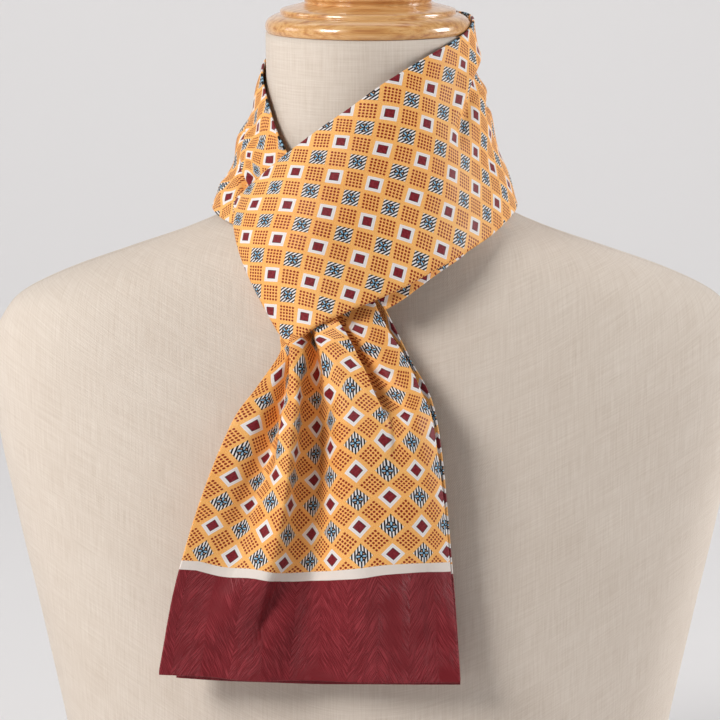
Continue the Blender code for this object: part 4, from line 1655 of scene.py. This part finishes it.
        # the last sections are spaced as the solid's are, so that both end in the same place
        stations = np.linspace(LOOP_BAND.rows[0][0], LOOP_BAND.rows[-1][0], self.solid_stations)
        ends = LOOP_BAND.surface(stations[-2:], turned)
        upper = ends[-1] + unit(ends[-1] - ends[-2]) * self.seam_step
        grid = self.surface(upper)
        normal, lift = creased(grid, self.creases, levels, across, self.slack)
        lift = lift + self.hem_roll * np.exp(-(levels / self.hem_reach) ** 2)[:, None]
        lift = lift * ramp(levels, self.calm_from, self.calm_from - self.calm)[:, None]
        shell = ClothShell(grid + normal * lift[..., None], self.print_places())
        tail = shell.build("front_tail", satin)
        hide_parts("scarf_front_tail")
        return tail


@dataclass
class BackTail(Tail):
    """The plainer end that hangs behind the front one."""

    sections: tuple[Rows, ...] = (
        (
            (0, -107, 0), (1.6, -81, -1), (3.2, -54.5, 0.5), (4.8, -28, 0),
            (6.4, -2, 0.5), (8.1, 25.5, 0), (9.7, 51.2, 0),
        ),
        (
            (0, -97, 0), (1.6, -74, -1.5), (3.2, -49, 1), (4.8, -25, -1.5),
            (6.4, -1.5, 1), (8.1, 24.5, -1), (9.7, 46.2, 0.5),
        ),
        (
            (0, -66, 1), (1.6, -50, -1), (3.2, -35, 1), (4.8, -18.5, -1),
            (6.4, -2.5, 1), (8.1, 17.5, -1.5), (9.7, 37.4, 0.5),
        ),
        (
            (0, -31, 0.5), (1.6, -25, -0.5), (3.2, -18, 0.5), (4.8, -11, -0.5),
            (6.4, -3, 0.5), (8.1, 9, -0.5), (9.7, 21.8, 0),
        ),
    )
    levels: Rows = ((0, 145.5, 108.5, 0), (1, 212, 105.5, 0), (2, 293.5, 101, 0), (3, 327, 86.7, 0))
    hem: Rows = ((0.0, 3.0), (1.6, 1.5), (3.2, 0.2), (4.8, -0.6), (6.4, -0.8), (9.7, -0.9))
    dips: Rows = ((0.0, 0.0), (3.2, -1.0), (4.8, -1.0), (6.4, -0.5), (9.7, 0.0))
    print_across: tuple[float, ...] = (0.6, 4.6, 6.6, 9.6)
    print_levels: Rows = (
        (-3.53, 0, 0, 0, 0),
        (0.6, 1, 0.97, 1, 1),
        (5.9, 2, 2, 2, 2),
        (8.2, 3, 3, 3, 3),
        (10.4, 4, 4, 4, 4),
    )
    columns: int = 130
    level_steps: tuple[int, ...] = (22, 40, 28, 20)
    upper_edge: Rows = ((-24.0, -80.5, 352.0), (0.5, -80.5, 369.0))

    def build(self, satin: bpy.types.Material) -> bpy.types.Object:
        """The tail as it hangs behind the front one.

        Args:
            satin: its cloth.

        Returns:
            The object.
        """
        _, across = self.measures()
        left, right = np.array(self.upper_edge)
        upper = left + (right - left) * (across / across[-1])[:, None]
        tail = ClothShell(self.surface(upper), self.print_places()).build("back_tail", satin)
        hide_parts("scarf_back_tail")
        return tail


# ---------------------------------------------------------------- the studio
@dataclass(frozen=True)
class Lamp:
    """A soft square light, placed and aimed in metres."""

    name: str
    place: tuple[float, float, float]
    size: float
    power: float
    aim: tuple[float, float, float] = (0.0, 0.0, 0.3)
    colour: Colour = (1.0, 1.0, 1.0)

    def build(self) -> bpy.types.Object:
        """Put the light in the scene.

        Returns:
            The light.
        """
        data = bpy.data.lights.new(self.name, "AREA")
        data.shape = "SQUARE"
        data.size = self.size
        data.energy = self.power
        data.color = self.colour
        lamp = bpy.data.objects.new(self.name, data)
        lamp.location = self.place
        heading = Vector(self.aim) - Vector(self.place)
        lamp.rotation_euler = heading.to_track_quat("-Z", "Y").to_euler()
        bpy.context.scene.collection.objects.link(lamp)
        return lamp


@dataclass
class Studio:
    """A pale sweep of floor and wall, soft lights and the camera."""

    lamps: tuple[Lamp, ...] = (
        Lamp("key", (-1.9, -1.8, 1.75), 1.0, 68.0, colour=(1.0, 0.985, 0.965)),
        Lamp("left_rim", (-2.5, 0.25, 1.0), 0.9, 9.0),
        Lamp("right_rim", (2.5, 0.1, 1.0), 0.9, 46.0),
        Lamp("wall", (-0.3, 0.9, 2.3), 2.2, 24.0, (0.0, 2.7, 0.9)),
    )
    sky: float = 0.115
    sky_colour: Colour = (0.95, 0.96, 1.0)
    target: tuple[float, float, float] = (-0.0046, 0.0, 0.3113)
    distance: float = 3.0
    elevation: float = 8.5
    lens: float = 260.9
    view_reach: float = 50.0
    wall_place: float = 1.6
    sweep: float = 1.1
    sweep_points: int = 24
    half_width: float = 5.0
    reach: float = 6.0
    height: float = 4.5
    seen_height: float = 0.42

    def profile(self) -> Rows:
        """The floor that turns up into the wall in one curve.

        Returns:
            Its depths and heights, from the front to the back.
        """
        turn = np.linspace(0.0, math.pi / 2.0, self.sweep_points)
        line = [(-self.reach, 0.0)]
        line += [(self.wall_place + self.sweep * math.sin(step), self.sweep * (1.0 - math.cos(step)))
                 for step in turn]
        return (*line, (self.wall_place + self.sweep, self.height))

    def sheet(self, name: str, line: Rows, paint: bpy.types.Material) -> bpy.types.Object:
        """One sheet of the floor and wall, as wide as the studio is.

        Args:
            name: its name.
            line: its depths and heights, from the front to the back.
            paint: its finish.

        Returns:
            The object.
        """
        points = [(side * self.half_width, depth, rise) for side in (-1.0, 1.0) for depth, rise in line]
        count = len(line)
        faces = [(index, count + index, count + index + 1, index + 1) for index in range(count - 1)]
        mesh = bpy.data.meshes.new(name)
        mesh.from_pydata(points, [], faces)
        mesh.shade_smooth()
        mesh.materials.append(paint)
        built = bpy.data.objects.new(name, mesh)
        bpy.context.scene.collection.objects.link(built)
        return built

    def camera(self) -> bpy.types.Object:
        """The camera at the photograph's angle, as the scene's own.

        Returns:
            The camera.
        """
        data = bpy.data.cameras.new("camera")
        data.lens = self.lens
        tilt = math.radians(self.elevation)
        back = Vector((0.0, -math.cos(tilt), math.sin(tilt)))
        seen = bpy.data.objects.new("camera", data)
        seen.location = Vector(self.target) + back * self.distance
        seen.rotation_euler = (-back).to_track_quat("-Z", "Y").to_euler()
        data.clip_end = self.view_reach
        bpy.context.scene.collection.objects.link(seen)
        bpy.context.scene.camera = seen
        return seen

    def build(self) -> None:
        """Set up the whole studio.

        The wall above the seen height lights the scarf, but a camera that looks from behind it sees
        through it.
        """
        line, paint = self.profile(), Paint().build()
        split = next(index for index, (_, rise) in enumerate(line) if rise > self.seen_height)
        wall = self.sheet("studio_wall", line[split:], paint)
        wall.visible_camera = False
        self.sheet("studio_sweep", line[: split + 1], paint)
        for lamp in self.lamps:
            lamp.build()
        world = bpy.data.worlds.new("studio")
        world.use_nodes = True
        sky = world.node_tree.nodes["Background"]
        sky.inputs["Color"].default_value = (*self.sky_colour, 1.0)
        sky.inputs["Strength"].default_value = self.sky
        bpy.context.scene.world = world
        bpy.context.scene.view_settings.view_transform = "Standard"
        self.camera()


def main() -> None:
    """Build the studio, the form and the scarf."""
    logging.basicConfig(level=logging.INFO, format="%(name)s: %(message)s")
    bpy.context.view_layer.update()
    Studio().build()
    LOG.info("studio, lights and camera")
    DressForm().build(Linen())
    NeckCap().build(VarnishedWood())
    satin = PrintedSatin().build()
    for stretch in (NeckLoop(), FrontWrap(), UnderLayer(), BackTail(), FrontTail()):
        stretch.build(satin)


if __name__ == "__main__":
    main()
